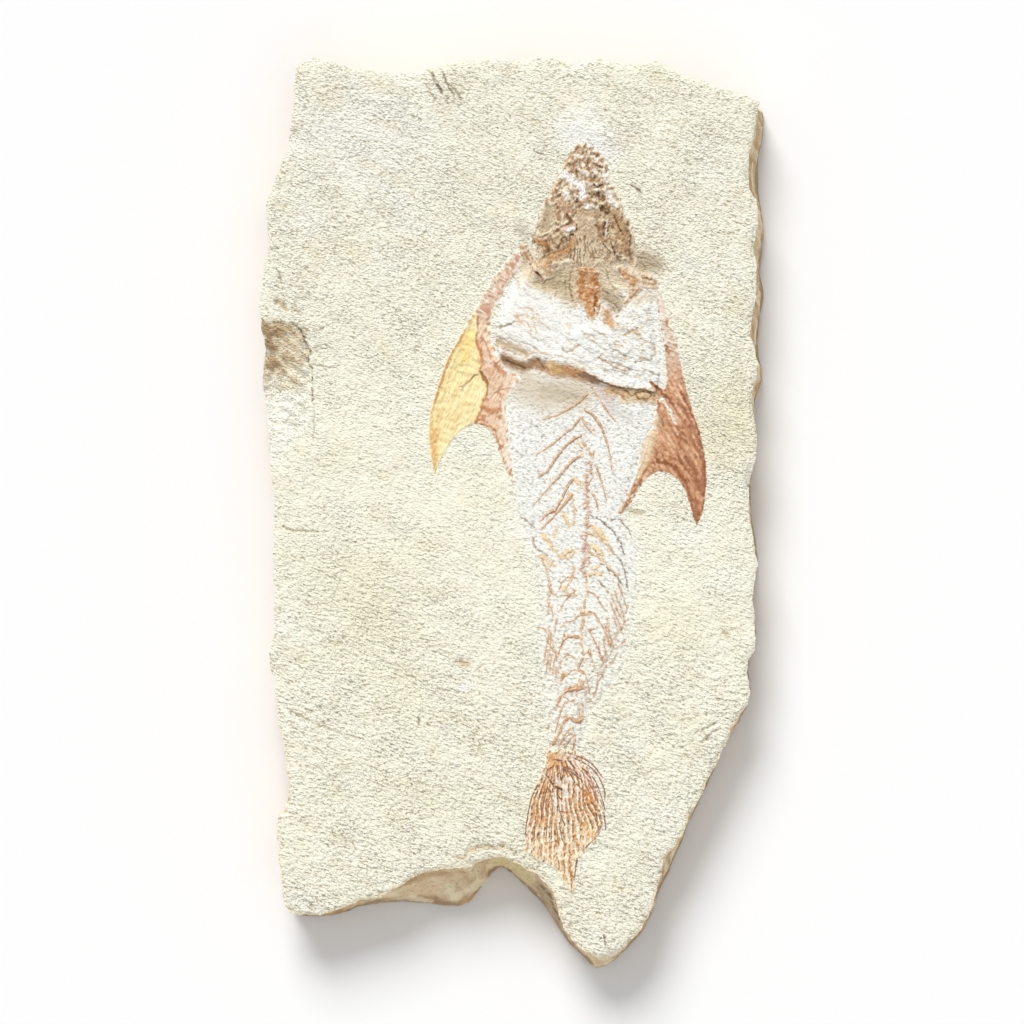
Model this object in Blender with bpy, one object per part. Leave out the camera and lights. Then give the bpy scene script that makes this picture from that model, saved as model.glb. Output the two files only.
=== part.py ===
"""Fossil fish slab: a broken plate of pale limestone with a small fish preserved in low relief on its face.

The plate lies on its flat underside, with the fish up. +Z is up, +Y runs from the fish's tail to its snout,
and the origin is the middle of the plate's box, on the underside. Every length below is in millimetres; the
meshes are scaled to metres as the last step of making them.
"""

import math
import random

import bmesh
import bpy
from mathutils import Vector, noise
from mathutils.bvhtree import BVHTree
from mathutils.geometry import delaunay_2d_cdt

MM = 0.001

# ---- The plate ----

FACE_HEIGHT = 12.0          # underside to the plain part of the face
FACE_SWELL = 0.30           # slow waves of the face
FACE_GRAIN = 0.30           # small unevenness of the face
RIM_DROP, RIM_WIDTH = 0.55, 1.8     # the worn rounding along the rim
UNDERCUT = 0.7              # how far the foot is tucked in where no wall shows from above
FOOT_CHAMFER = 0.6          # the broken lower arris, between the wall and the flat underside
WALL_ROUGHNESS = 1.3        # how deep the break is eaten in between rim and foot
COARSE, FINE = 4.2, 2.2     # spacing of the face's points on plain stone, and around the fish and the scar
GAP = 0.3                   # between the stone and each bone or fin that lies on it

# Outline of the rim, clockwise from the top left corner. Along the top and the left the foot is tucked in.
TOP_EDGE = [
    (-43.2, 89.6), (-39.8, 91.4), (-36.0, 90.8), (-32.8, 89.4), (-26.4, 88.6), (-23.0, 88.0), (-17.6, 88.8),
    (-15.0, 89.6), (-10.2, 90.7), (-4.4, 91.0), (-1.4, 90.8), (3.6, 91.4), (6.2, 91.4), (10.6, 90.8),
    (13.6, 90.8), (17.6, 91.2), (19.8, 90.6), (22.4, 90.0), (24.2, 90.0), (28.8, 90.6), (32.8, 88.6),
    (35.6, 87.4), (37.6, 87.0), (41.6, 85.4), (46.6, 83.8), (49.6, 82.5),
]
# Along the right, the point and the notch the wall flares out: rim x, rim y, foot x, foot y.
RIGHT_EDGE = [
    (49.4, 81.4, 50.8, 80.6), (49.0, 78.8, 50.6, 78.4), (48.4, 75.8, 50.4, 75.8), (47.8, 72.8, 50.0, 72.4),
    (47.4, 70.2, 49.8, 69.6), (47.6, 64.8, 49.6, 65.2), (49.0, 63.0, 50.0, 62.2), (49.4, 58.4, 50.6, 58.6),
    (48.6, 53.8, 50.6, 54.8), (49.0, 50.4, 50.0, 48.8), (49.0, 46.8, 50.8, 44.8), (49.0, 42.8, 50.6, 42.2),
    (48.4, 40.8, 50.0, 39.2), (48.0, 35.8, 49.6, 34.8), (49.0, 31.8, 49.8, 31.4), (49.4, 30.0, 50.6, 29.2),
    (48.8, 26.4, 50.4, 26.8), (47.8, 22.8, 49.0, 22.8), (48.6, 19.8, 49.0, 20.4), (49.0, 16.8, 49.2, 16.8),
    (49.0, 11.8, 49.2, 12.4), (47.6, 6.8, 48.0, 6.2), (47.6, 0.8, 48.2, 0.8), (48.2, -3.2, 48.8, -3.8),
    (48.6, -7.6, 49.4, -7.8), (49.3, -10.0, 49.6, -10.2), (48.6, -13.6, 49.0, -13.6),
    (48.4, -18.2, 48.8, -18.2), (48.8, -24.2, 49.2, -24.2), (48.6, -27.2, 49.0, -27.2),
    (47.4, -29.2, 47.9, -29.2), (47.2, -31.6, 47.6, -31.6), (47.8, -35.0, 48.3, -35.2),
]
POINT_EDGE = [
    (47.2, -38.4, 47.6, -38.8), (46.0, -39.6, 46.4, -40.6), (44.6, -41.8, 45.0, -43.2),
    (42.8, -46.2, 43.6, -45.8), (41.2, -49.6, 41.7, -49.6), (40.0, -51.6, 40.5, -52.2),
    (38.0, -56.4, 38.8, -55.8), (35.6, -60.2, 37.0, -59.8), (34.6, -63.6, 35.2, -63.6),
    (32.8, -66.4, 34.4, -66.2), (30.6, -68.8, 32.8, -69.6), (30.4, -71.6, 32.0, -71.8),
    (29.0, -75.8, 30.0, -75.8), (27.6, -80.0, 28.6, -80.0), (26.0, -83.2, 26.8, -83.4),
    (23.2, -86.0, 23.8, -86.6), (21.0, -88.4, 21.0, -89.8), (18.8, -88.8, 18.8, -91.2),
    (17.0, -89.0, 16.8, -91.4), (13.6, -87.2, 14.2, -89.2), (12.0, -85.6, 11.8, -86.8),
]
NOTCH_EDGE = [
    (10.4, -83.4, 9.6, -83.8), (9.4, -80.4, 7.6, -80.8), (8.8, -77.8, 5.8, -78.4), (8.0, -75.6, 4.0, -76.6),
    (6.2, -73.6, 2.4, -75.0), (4.6, -72.0, 1.0, -73.6), (2.6, -71.0, -0.2, -72.4), (0.6, -70.0, -1.2, -71.6),
    (-1.0, -69.0, -2.2, -71.2), (-2.4, -68.8, -3.0, -71.6), (-4.4, -69.0, -4.2, -72.6),
    (-6.4, -69.6, -5.4, -74.2), (-8.0, -70.6, -6.8, -76.4), (-9.4, -71.0, -8.6, -78.2),
    (-11.2, -71.0, -10.8, -79.2), (-13.4, -71.2, -13.6, -79.0), (-16.4, -71.6, -16.4, -78.6),
    (-18.8, -72.4, -19.4, -78.4), (-21.4, -74.0, -22.4, -78.2), (-24.0, -75.4, -25.4, -78.4),
    (-26.4, -76.8, -28.0, -78.8), (-29.4, -77.4, -31.0, -79.4), (-32.4, -78.2, -33.4, -80.2),
    (-35.4, -79.4, -36.4, -81.0), (-38.4, -80.4, -39.4, -81.1), (-42.2, -80.2, -42.4, -80.9),
]
LEFT_EDGE = [
    (-44.2, -80.0), (-45.2, -78.8), (-45.8, -77.0), (-46.2, -74.0), (-46.8, -68.2), (-47.2, -62.2),
    (-46.6, -60.0), (-45.2, -57.6), (-44.6, -56.0), (-44.8, -53.2), (-45.6, -47.6), (-46.6, -43.2),
    (-47.2, -38.2), (-47.6, -34.6), (-48.4, -30.8), (-48.6, -27.6), (-47.8, -23.6), (-47.6, -20.2),
    (-47.8, -14.8), (-47.9, -8.0), (-47.8, -1.2), (-47.6, 2.8), (-48.4, 6.8), (-48.6, 11.8), (-49.0, 18.8),
    (-49.8, 24.8), (-50.2, 27.8), (-49.4, 32.8), (-50.2, 37.2), (-50.8, 41.8), (-50.4, 45.8), (-49.6, 49.8),
    (-48.8, 53.8), (-49.0, 56.8), (-49.4, 60.8), (-49.0, 63.0), (-48.0, 65.4), (-46.8, 68.4), (-45.8, 71.4),
    (-44.8, 73.2), (-44.2, 78.8), (-43.8, 82.8), (-43.6, 86.0),
]
# Rings of the broken wall: share of the height below the rim, and share of the way out from rim to foot.
WALL_RINGS = ((0.20, 0.14), (0.42, 0.52), (0.64, 0.86), (0.88, 1.0))

# The raised breast: a lumpy bed of stone over the fish's chest. Its lower edge is a broken ledge.
BREAST_LEFT = [(3.6, 50.4), (0.8, 47.8), (-1.0, 44.8), (-2.6, 41.8), (-3.8, 38.8), (-3.4, 34.6)]
LEDGE = [
    (-2.0, 32.0), (0.0, 30.8), (2.0, 30.0), (3.6, 30.4), (5.0, 31.4), (7.2, 31.2), (9.6, 30.4), (12.0, 29.8),
    (14.0, 29.2), (15.6, 28.0), (17.6, 27.2), (21.6, 25.8), (25.6, 25.2), (28.4, 24.6),
]
BREAST_RIGHT = [
    (29.8, 29.8), (29.0, 35.8), (28.4, 42.4), (25.6, 44.6), (21.6, 42.0), (18.6, 38.4), (12.6, 38.6),
    (9.0, 42.4), (6.6, 46.8),
]
BREAST_HEIGHT = 1.3         # at the left and middle of the ledge
BREAST_RIGHT_HEIGHT = 0.7   # where the ledge thins out to the right
BREAST_BLEND = 2.6          # width of the soft sides of the breast
LEDGE_WIDTH = 0.5           # width of the ledge's steep face

# The low mound of the fish's body below the ledge.
BODY = [
    (-0.6, 31.0), (-1.0, 20.0), (-1.0, 11.0), (0.2, 5.0), (3.6, -5.2), (6.4, -17.2), (7.6, -27.2),
    (8.2, -37.2), (7.4, -47.0), (13.4, -47.0), (16.0, -37.2), (20.6, -29.2), (23.6, -17.2), (24.0, -9.2),
    (22.6, -0.2), (26.0, 8.8), (28.0, 16.0), (28.6, 26.0), (14.0, 30.0),
]
BODY_HEIGHT, BODY_BLEND = 0.5, 3.0

# The low swelling of stone under and around the skull.
HEAD_MOUND = [(14.6, 75.0), (9.0, 66.0), (4.0, 54.0), (6.0, 48.0), (14.0, 45.0), (23.0, 47.0), (25.0, 54.0),
              (20.0, 66.0)]
HEAD_HEIGHT, HEAD_BLEND = 0.8, 4.0

# The shallow hollow in the left edge, where a flake has come off along a crack.
SCAR_CRACK = [(-41.6, 38.0), (-40.6, 35.8), (-40.0, 32.0), (-40.1, 26.0), (-40.4, 20.0), (-41.2, 15.0),
              (-42.8, 11.0)]
SCAR = SCAR_CRACK + [(-46.0, 8.6), (-53.0, 7.6), (-53.0, 40.0), (-46.0, 39.4)]
SCAR_TOP, SCAR_DEEPEST, SCAR_BOTTOM = 39.4, 27.0, 8.0
SCAR_STEP, SCAR_DEPTH = 0.9, 3.2    # depth at the crack, and at the plate's edge
SCAR_STEP_WIDTH = 0.6

# Flakes lost from the rim: middle x, y, radius and depth.
CHIPS = [
    (3.4, 92.6, 5.0, 1.0), (12.0, 92.2, 4.2, 0.8), (25.0, 92.0, 4.0, 1.0), (-39.0, 92.4, 4.6, 0.9),
    (50.0, 52.0, 3.4, 1.0), (49.6, 6.0, 4.0, 0.7), (-49.0, -31.0, 3.6, 0.8), (-46.5, -57.0, 3.4, 0.9),
    (20.0, -90.0, 3.6, 0.9), (38.4, -60.0, 3.0, 0.7), (-51.0, 56.0, 3.4, 0.8), (-44.0, 75.0, 3.0, 0.6),
]

# The fish and the scar lie in these boxes, where the face's points stand closer: left, bottom, right, top.
FISH_BOXES = ((1.0, 48.0, 27.0, 77.0), (-18.0, -3.0, 41.0, 53.0), (1.0, -78.0, 26.0, -3.0))
SCAR_BOX = (-52.0, 7.0, -38.5, 41.0)


# ---- Plane geometry ----

def smooth(share):
    """Goes softly from 0 to 1 as share does."""
    share = min(1.0, max(0.0, share))
    return share * share * (3 - 2 * share)


def signed_area(outline):
    pairs = zip(outline, outline[1:] + outline[:1])
    return sum(a[0] * b[1] - b[0] * a[1] for a, b in pairs) / 2


def line_distance(x, y, line):
    """Distance from a point to an open line."""
    nearest = math.inf
    for (ax, ay), (bx, by) in zip(line, line[1:]):
        dx, dy = bx - ax, by - ay
        along = ((x - ax) * dx + (y - ay) * dy) / (dx * dx + dy * dy)
        along = min(1.0, max(0.0, along))
        nearest = min(nearest, math.hypot(x - ax - along * dx, y - ay - along * dy))
    return nearest


def inside(x, y, outline):
    """Whether a point lies inside a closed outline."""
    crossings = 0
    for (ax, ay), (bx, by) in zip(outline, outline[1:] + outline[:1]):
        if (ay > y) != (by > y) and x < ax + (y - ay) / (by - ay) * (bx - ax):
            crossings += 1
    return crossings % 2 == 1


def depth_inside(x, y, outline):
    """How far inside a closed outline a point lies, or 0 outside it."""
    return line_distance(x, y, outline + outline[:1]) if inside(x, y, outline) else 0.0


def hills(x, y, bumps):
    """Sum of round bumps, each given by its middle, radius and height; a negative height is a pit."""
    total = 0.0
    for middle_x, middle_y, radius, height in bumps:
        total += height * (1 - smooth(math.hypot(x - middle_x, y - middle_y) / radius))
    return total


def ridges(x, y, lines, half_width, height):
    """Height of the nearest of a set of ridge lines."""
    nearest = min(line_distance(x, y, line) for line in lines)
    return height * max(0.0, 1 - nearest / half_width)


def unevenness(x, y, size, shift=0.0):
    """Natural-looking waves of about the given size, from -1 to 1."""
    return noise.noise(Vector((x / size, y / size, shift)))


def grid_points(outlines, spacing, clear, keep):
    """Points of a slightly disordered triangular grid that keep() accepts and that stay clear of the edges."""
    scatter = random.Random(11)
    xs = [x for outline in outlines for x, _ in outline]
    ys = [y for outline in outlines for _, y in outline]
    found = []
    row = 0
    y = min(ys)
    while y < max(ys):
        x = min(xs) + (row % 2) * spacing / 2
        while x < max(xs):
            px = x + scatter.uniform(-0.22, 0.22) * spacing
            py = y + scatter.uniform(-0.22, 0.22) * spacing
            if keep(px, py) and all(line_distance(px, py, o + o[:1]) > clear for o in outlines):
                found.append((px, py))
            x += spacing
        y += spacing * math.sqrt(3) / 2
        row += 1
    return found


def triangulate(outlines, lines, loose):
    """Triangles over the area inside the outlines, with the lines as edges and the loose points as corners.

    Returns the corners, the triangles, and for each input point the corner that it became."""
    points, edges, faces = [], [], []
    for outline in outlines:
        ring = outline if signed_area(outline) > 0 else outline[::-1]
        faces.append(list(range(len(points), len(points) + len(ring))))
        points += ring
    for line in lines:
        edges += [(len(points) + i, len(points) + i + 1) for i in range(len(line) - 1)]
        points += line
    points += loose
    corners, _, triangles, sources, _, owners = delaunay_2d_cdt(
        [Vector(point) for point in points], edges, faces, 1, 0.001)
    became = {source: corner for corner, found in enumerate(sources) for source in found}
    return corners, [t for t, owner in zip(triangles, owners) if owner], became


# ---- The face of the plate ----

def breast_height(x, y):
    """Lift of the raised breast, steep at the ledge and soft at its sides."""
    if not inside(x, y, BREAST):
        return 0.0
    full = BREAST_HEIGHT + (BREAST_RIGHT_HEIGHT - BREAST_HEIGHT) * smooth((x - 14.0) / 12.0)
    side = min(line_distance(x, y, BREAST_LEFT), line_distance(x, y, BREAST_RIGHT))
    lumps = 0.35 * unevenness(x, y, 3.0, 5.0)
    return (full + lumps) * smooth(side / BREAST_BLEND) * smooth(line_distance(x, y, LEDGE) / LEDGE_WIDTH)


def scar_depth(x, y):
    """Depth of the hollow in the left edge: a scoop that starts with a small step at the crack."""
    into = depth_inside(x, y, SCAR)
    if into <= 0:
        return 0.0
    falling = smooth((SCAR_TOP - y) / (SCAR_TOP - SCAR_DEEPEST))
    rising = smooth((y - SCAR_BOTTOM) / (SCAR_DEEPEST - SCAR_BOTTOM))
    outwards = SCAR_STEP + (SCAR_DEPTH - SCAR_STEP) * smooth((-40.5 - x) / 9.0)
    lumps = 0.45 * unevenness(x, y, 3.0, 9.0) * smooth(into)
    return outwards * falling * rising * smooth(into / SCAR_STEP_WIDTH) + lumps


def face_height(x, y):
    """Height of the plate's face above its underside."""
    height = FACE_HEIGHT
    height += FACE_SWELL * unevenness(x, y, 30.0)
    height += breast_height(x, y)
    height += BODY_HEIGHT * smooth(depth_inside(x, y, BODY) / BODY_BLEND)
    height += HEAD_HEIGHT * smooth(depth_inside(x, y, HEAD_MOUND) / HEAD_BLEND)
    height -= scar_depth(x, y)
    height -= hills(x, y, CHIPS)
    height -= RIM_DROP * (1 - smooth(line_distance(x, y, RIM + RIM[:1]) / RIM_WIDTH))
    return height


def in_box(x, y, box):
    left, bottom, right, top = box
    return left < x < right and bottom < y < top


def near_fish(x, y):
    return any(in_box(x, y, box) for box in FISH_BOXES)


def is_fine(x, y):
    return near_fish(x, y) or in_box(x, y, SCAR_BOX)


def moved_in(ring, distance):
    """The ring's points moved towards the stone, square to the ring, which runs clockwise."""
    moved = []
    for before, here, after in zip(ring[-1:] + ring[:-1], ring, ring[1:] + ring[:1]):
        along = Vector((after[0] - before[0], after[1] - before[1])).normalized()
        moved.append((here[0] + along.y * distance, here[1] - along.x * distance))
    return moved


BREAST = BREAST_LEFT + LEDGE + BREAST_RIGHT
LEDGE_FOOT = [(x + 0.1, y - LEDGE_WIDTH) for x, y in LEDGE]
SCAR_CRACK_FOOT = [(x - SCAR_STEP_WIDTH, y) for x, y in SCAR_CRACK]
FLARED = RIGHT_EDGE + POINT_EDGE + NOTCH_EDGE
RIM = TOP_EDGE + [station[:2] for station in FLARED] + LEFT_EDGE
TUCKED = moved_in(RIM, UNDERCUT)
FOOT = (TUCKED[:len(TOP_EDGE)] + [station[2:] for station in FLARED] + TUCKED[len(TOP_EDGE) + len(FLARED):])


# ---- Making the pieces ----

def coat(name, colour, roughness):
    """A plain dielectric material."""
    material = bpy.data.materials.new(name)
    material.use_nodes = True
    shader = material.node_tree.nodes["Principled BSDF"]
    shader.inputs["Base Color"].default_value = (*colour, 1.0)
    shader.inputs["Roughness"].default_value = roughness
    shader.inputs["Metallic"].default_value = 0.0
    return material


def finish(name, bm, material):
    """Turns a mesh in millimetres into a named object in metres."""
    bmesh.ops.recalc_face_normals(bm, faces=bm.faces[:])
    bmesh.ops.scale(bm, vec=(MM, MM, MM), verts=bm.verts[:])
    mesh = bpy.data.meshes.new(name)
    bm.to_mesh(mesh)
    bm.free()
    mesh.materials.append(material)
    piece = bpy.data.objects.new(name, mesh)
    bpy.context.scene.collection.objects.link(piece)
    return piece


def wall_to(bm, ring, places):
    """Extrudes a closed ring of vertices to new places and returns the new ring in the same order."""
    edges = [bm.edges.get(pair) for pair in zip(ring, ring[1:] + ring[:1])]
    made = set(bmesh.ops.extrude_edge_only(bm, edges=edges)["geom"])
    new_ring = []
    for vert, place in zip(ring, places):
        new = next(edge.other_vert(vert) for edge in vert.link_edges if edge.other_vert(vert) in made)
        new.co = place
        new_ring.append(new)
    return new_ring


def make_plate():
    """The stone: its face, the broken wall in rings from rim to foot, and the flat underside."""
    steps = (LEDGE, LEDGE_FOOT, SCAR_CRACK, SCAR_CRACK_FOOT)
    near = grid_points([RIM], FINE, 1.2, lambda x, y: is_fine(x, y) and inside(x, y, RIM)
                       and all(line_distance(x, y, step) > 1.0 for step in steps))
    far = grid_points([RIM], COARSE, 1.6, lambda x, y: not is_fine(x, y) and inside(x, y, RIM))
    corners, triangles, became = triangulate([RIM], steps, near + far)
    bm = bmesh.new()
    verts = []
    for x, y in corners:
        grain = 0.0 if near_fish(x, y) else FACE_GRAIN * unevenness(x, y, 1.7, 3.0)
        verts.append(bm.verts.new((x, y, face_height(x, y) + grain)))
    for triangle in triangles:
        bm.faces.new([verts[corner] for corner in triangle])

    # The triangulation turns the clockwise rim round, so its points are looked up in that order.
    ring = [verts[became[len(RIM) - 1 - station]] for station in range(len(RIM))]
    rim_heights = [vert.co.z for vert in ring]
    for level, (down, out) in enumerate(WALL_RINGS):
        between = [(r[0] + (f[0] - r[0]) * out, r[1] + (f[1] - r[1]) * out) for r, f in zip(RIM, FOOT)]
        eaten = moved_in(between, 1.0)
        places = []
        for (x, y), (deep_x, deep_y), rim_height in zip(between, eaten, rim_heights):
            bite = WALL_ROUGHNESS * (0.5 + 0.5 * unevenness(x, y, 2.6, level * 4.7)) * (1 - out ** 8)
            step = 0.5 * unevenness(x, y, 6.0, level * 2.3)
            places.append((x + (deep_x - x) * bite, y + (deep_y - y) * bite, rim_height * (1 - down) + step))
        ring = wall_to(bm, ring, places)
    ring = wall_to(bm, ring, [(x, y, 0.0) for x, y in moved_in(FOOT, FOOT_CHAMFER)])
    bm.faces.new(ring)
    bmesh.ops.triangulate(bm, faces=bm.faces[:])
    bmesh.ops.recalc_face_normals(bm, faces=bm.faces[:])
    return bm


def make_relief(name, material, ground, outlines, lift, creases=(), spacing=None):
    """A thin piece that lies on the face: its underside follows the stone, and lift() is its thickness."""
    loose = []
    if spacing:
        clear = 0.55 * spacing
        loose = grid_points(outlines, spacing, clear, lambda x, y: any(inside(x, y, o) for o in outlines)
                            and all(line_distance(x, y, crease) > clear for crease in creases))
    corners, triangles, _ = triangulate(outlines, creases, loose)
    used = sorted({corner for triangle in triangles for corner in triangle})
    bm = bmesh.new()
    verts = {corner: bm.verts.new((*corners[corner], ground(*corners[corner]) + GAP)) for corner in used}
    for triangle in triangles:
        bm.faces.new([verts[corner] for corner in triangle])
    made = bmesh.ops.extrude_face_region(bm, geom=bm.faces[:], use_keep_orig=True)["geom"]
    for vert in (item for item in made if isinstance(item, bmesh.types.BMVert)):
        vert.co.z += lift(vert.co.x, vert.co.y)
    return finish(name, bm, material)


def strip(line, width, tip_width):
    """Outline of a band that runs along a line and tapers from width to tip_width."""
    left, right = [], []
    for i, (x, y) in enumerate(line):
        ax, ay = line[max(i - 1, 0)]
        bx, by = line[min(i + 1, len(line) - 1)]
        along = Vector((bx - ax, by - ay)).normalized()
        half = (width + (tip_width - width) * i / (len(line) - 1)) / 2
        left.append((x - along.y * half, y + along.x * half))
        right.append((x + along.y * half, y - along.x * half))
    return left + right[::-1]


# ---- The head and shoulders ----

SKULL = [
    (13.4, 74.4), (14.8, 74.8), (16.0, 73.4), (18.0, 71.8), (19.0, 69.8), (19.8, 66.8), (21.2, 63.8),
    (22.4, 61.2), (23.6, 58.8), (24.4, 55.8), (24.8, 51.8), (24.0, 50.2), (21.2, 50.6), (18.6, 49.6),
    (15.6, 49.6), (12.4, 49.8), (9.6, 48.6), (7.4, 47.8), (6.2, 50.4), (4.8, 52.6), (3.8, 54.4), (5.0, 57.8),
    (5.8, 60.4), (7.0, 62.8), (7.8, 64.8), (9.0, 67.8), (10.2, 69.8), (11.8, 72.2),
]
# Bones of the head as ridges: both jaws, the middle line, the gill arc and the right cheek.
SKULL_RIDGES = [
    [(12.6, 71.6), (10.4, 67.4), (8.4, 62.8), (6.4, 58.0), (5.2, 54.6)],
    [(16.4, 71.2), (18.4, 66.4), (20.4, 61.4), (22.6, 56.6), (23.6, 52.0)],
    [(14.8, 72.6), (14.6, 67.0), (14.0, 61.2), (13.4, 57.0)],
    [(12.8, 57.0), (12.2, 53.8), (10.6, 51.8), (7.0, 50.4)],
    [(18.2, 58.2), (19.2, 54.2), (21.2, 51.4)],
]
SKULL_LUMPS = [
    (11.8, 66.2, 1.9, 0.5), (15.2, 64.0, 1.9, 0.6), (15.6, 61.6, 1.6, 0.4), (6.6, 54.4, 2.0, 0.6),
    (11.6, 56.6, 1.6, 0.5), (9.0, 55.2, 1.5, 0.4), (17.6, 63.4, 1.6, -0.8), (18.3, 61.0, 1.5, -0.7),
    (13.0, 64.2, 1.4, -0.5), (12.8, 60.0, 1.5, -0.5), (9.4, 58.6, 1.6, -0.4), (20.6, 56.6, 1.5, -0.5),
    (14.2, 69.4, 1.3, 0.4), (17.0, 68.6, 1.3, 0.3), (12.0, 69.6, 1.2, -0.3), (22.0, 53.6, 1.4, -0.4),
]
THROAT = [(12.6, 48.7), (15.0, 49.0), (17.6, 48.7), (18.0, 44.2), (17.6, 39.8), (15.8, 38.8), (14.6, 40.8),
          (13.6, 44.6)]
LEFT_SHOULDER = [(2.6, 53.8), (3.8, 52.4), (5.2, 49.8), (6.4, 47.4), (5.4, 46.8), (4.0, 48.6), (2.6, 50.8),
                 (1.9, 52.6)]
RIGHT_SHOULDER = [(20.6, 48.9), (22.0, 49.5), (25.2, 47.6), (28.4, 47.2), (29.6, 46.0), (28.8, 44.9),
                  (26.2, 45.4), (23.4, 42.2), (22.4, 41.6), (23.0, 44.0), (23.8, 45.8), (21.6, 47.4)]


def skull_lift(x, y):
    edge = smooth(depth_inside(x, y, SKULL) / 2.0)
    rough = 0.35 * unevenness(x, y, 1.5, 7.0)
    bones = ridges(x, y, SKULL_RIDGES, 1.2, 0.6)
    return max(0.25, 0.35 + edge * (0.55 + bones + hills(x, y, SKULL_LUMPS) + rough))


# ---- The fins ----

LEFT_FIN = [
    (1.0, 51.8), (-0.8, 50.2), (-3.4, 47.2), (-5.8, 43.2), (-7.4, 40.4), (-8.8, 38.4), (-10.4, 35.4),
    (-12.4, 31.8), (-13.7, 28.4), (-14.6, 25.6), (-15.6, 22.8), (-16.2, 19.8), (-16.5, 16.2), (-16.2, 12.4),
    (-15.5, 7.8), (-14.0, 11.2), (-12.8, 13.8), (-11.2, 16.2), (-9.4, 17.4), (-7.4, 18.3), (-5.6, 17.8),
    (-4.0, 16.8), (-3.0, 14.8), (-2.2, 11.8), (-1.2, 8.6), (0.4, 5.4), (-0.2, 10.4), (-1.0, 16.8),
    (-1.9, 22.6), (-1.4, 25.8), (0.0, 28.2), (-3.0, 31.4), (-4.2, 34.6), (-4.6, 38.8), (-3.4, 41.8),
    (-1.8, 44.8), (0.2, 47.8), (1.6, 50.2),
]
LEFT_FIN_RAYS = [
    [(0.4, 50.2), (-2.4, 46.4), (-4.8, 42.2), (-6.6, 38.8), (-9.4, 34.2), (-11.8, 29.6), (-13.4, 24.8),
     (-14.8, 19.6), (-15.5, 12.6)],
    [(-5.4, 38.6), (-5.4, 34.0), (-4.6, 29.6), (-4.4, 25.6), (-5.6, 21.0)],
    [(-8.6, 34.0), (-10.6, 28.6), (-12.2, 22.8), (-13.9, 16.6)],
    [(-7.4, 31.0), (-8.8, 25.6), (-10.6, 20.0)],
    [(-3.4, 30.0), (-2.9, 25.4), (-3.2, 20.4), (-1.6, 12.4)],
]
RIGHT_FIN = [
    (29.3, 43.6), (30.3, 43.0), (31.2, 39.8), (32.2, 36.8), (32.9, 33.8), (33.4, 30.8), (34.2, 26.8),
    (34.9, 24.0), (36.0, 20.8), (37.0, 17.8), (37.8, 14.8), (38.4, 11.8), (38.7, 8.8), (38.7, 5.8),
    (38.4, 2.8), (38.0, 0.4), (37.0, -2.6), (36.2, -0.2), (35.0, 3.8), (34.2, 5.8), (33.2, 7.2), (31.4, 8.3),
    (29.2, 8.6), (27.6, 7.8), (26.2, 6.6), (25.0, 4.6), (24.0, 2.6), (21.4, 0.0), (23.0, 4.0), (24.0, 6.0),
    (25.2, 9.8), (25.7, 13.4), (27.0, 15.8), (28.2, 17.0), (28.6, 19.2), (29.2, 22.2), (30.4, 24.4),
    (31.2, 26.8), (30.9, 30.2), (30.5, 34.0), (29.9, 37.4),
]
RIGHT_FIN_RAYS = [
    [(30.4, 40.6), (31.4, 36.6), (32.3, 30.6), (33.0, 26.6), (34.6, 21.6), (36.2, 15.8), (37.2, 9.4),
     (37.4, 3.2)],
    [(31.8, 23.8), (33.4, 18.0), (34.6, 12.4), (35.8, 6.4)],
    [(30.4, 21.4), (31.4, 16.6), (32.4, 11.2)],
    [(29.6, 18.2), (28.8, 13.4), (26.8, 9.2), (24.8, 5.2), (22.6, 1.8)],
]
DORSAL_FIN = [
    (17.6, -14.0), (20.0, -14.6), (21.4, -14.8), (22.6, -17.6), (23.1, -19.4), (22.2, -22.6), (21.2, -25.4),
    (20.2, -28.0), (19.0, -31.4), (17.8, -35.2), (16.8, -37.0), (16.6, -33.4), (17.8, -28.8), (18.9, -24.4),
    (18.8, -20.4), (18.2, -17.0),
]
DORSAL_RAYS = [
    [(19.4, -15.4), (21.6, -19.6)], [(19.6, -18.2), (21.4, -22.6)], [(19.6, -21.6), (20.6, -26.0)],
    [(19.4, -25.0), (19.6, -28.8)], [(18.6, -28.4), (18.4, -32.2)],
]
ANAL_FIN = [
    (7.0, -13.4), (8.1, -13.2), (8.3, -19.0), (8.9, -24.0), (9.2, -28.0), (9.0, -33.0), (8.0, -33.6),
    (7.2, -30.8), (6.4, -27.4), (6.3, -23.6), (6.9, -19.4),
]
ANAL_RAYS = [
    [(7.6, -14.6), (7.5, -19.4)], [(7.9, -22.0), (7.0, -26.4)], [(8.3, -24.8), (7.6, -29.2)],
    [(8.7, -27.6), (8.3, -31.8)],
]
TAIL_FIN = [
    (7.0, -47.4), (6.6, -50.2), (5.6, -52.8), (4.8, -54.2), (4.0, -56.4), (3.4, -59.2), (3.0, -62.6),
    (2.6, -67.2), (4.2, -68.6), (6.2, -69.6), (8.2, -70.6), (10.2, -73.2), (11.2, -74.8), (11.8, -76.2),
    (12.6, -74.8), (12.4, -70.8), (13.0, -68.6), (15.2, -67.2), (16.8, -65.2), (17.8, -63.4), (18.8, -62.6),
    (18.6, -59.2), (18.0, -56.2), (17.2, -53.6), (16.0, -51.2), (14.6, -49.0), (12.6, -47.4),
]
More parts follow.
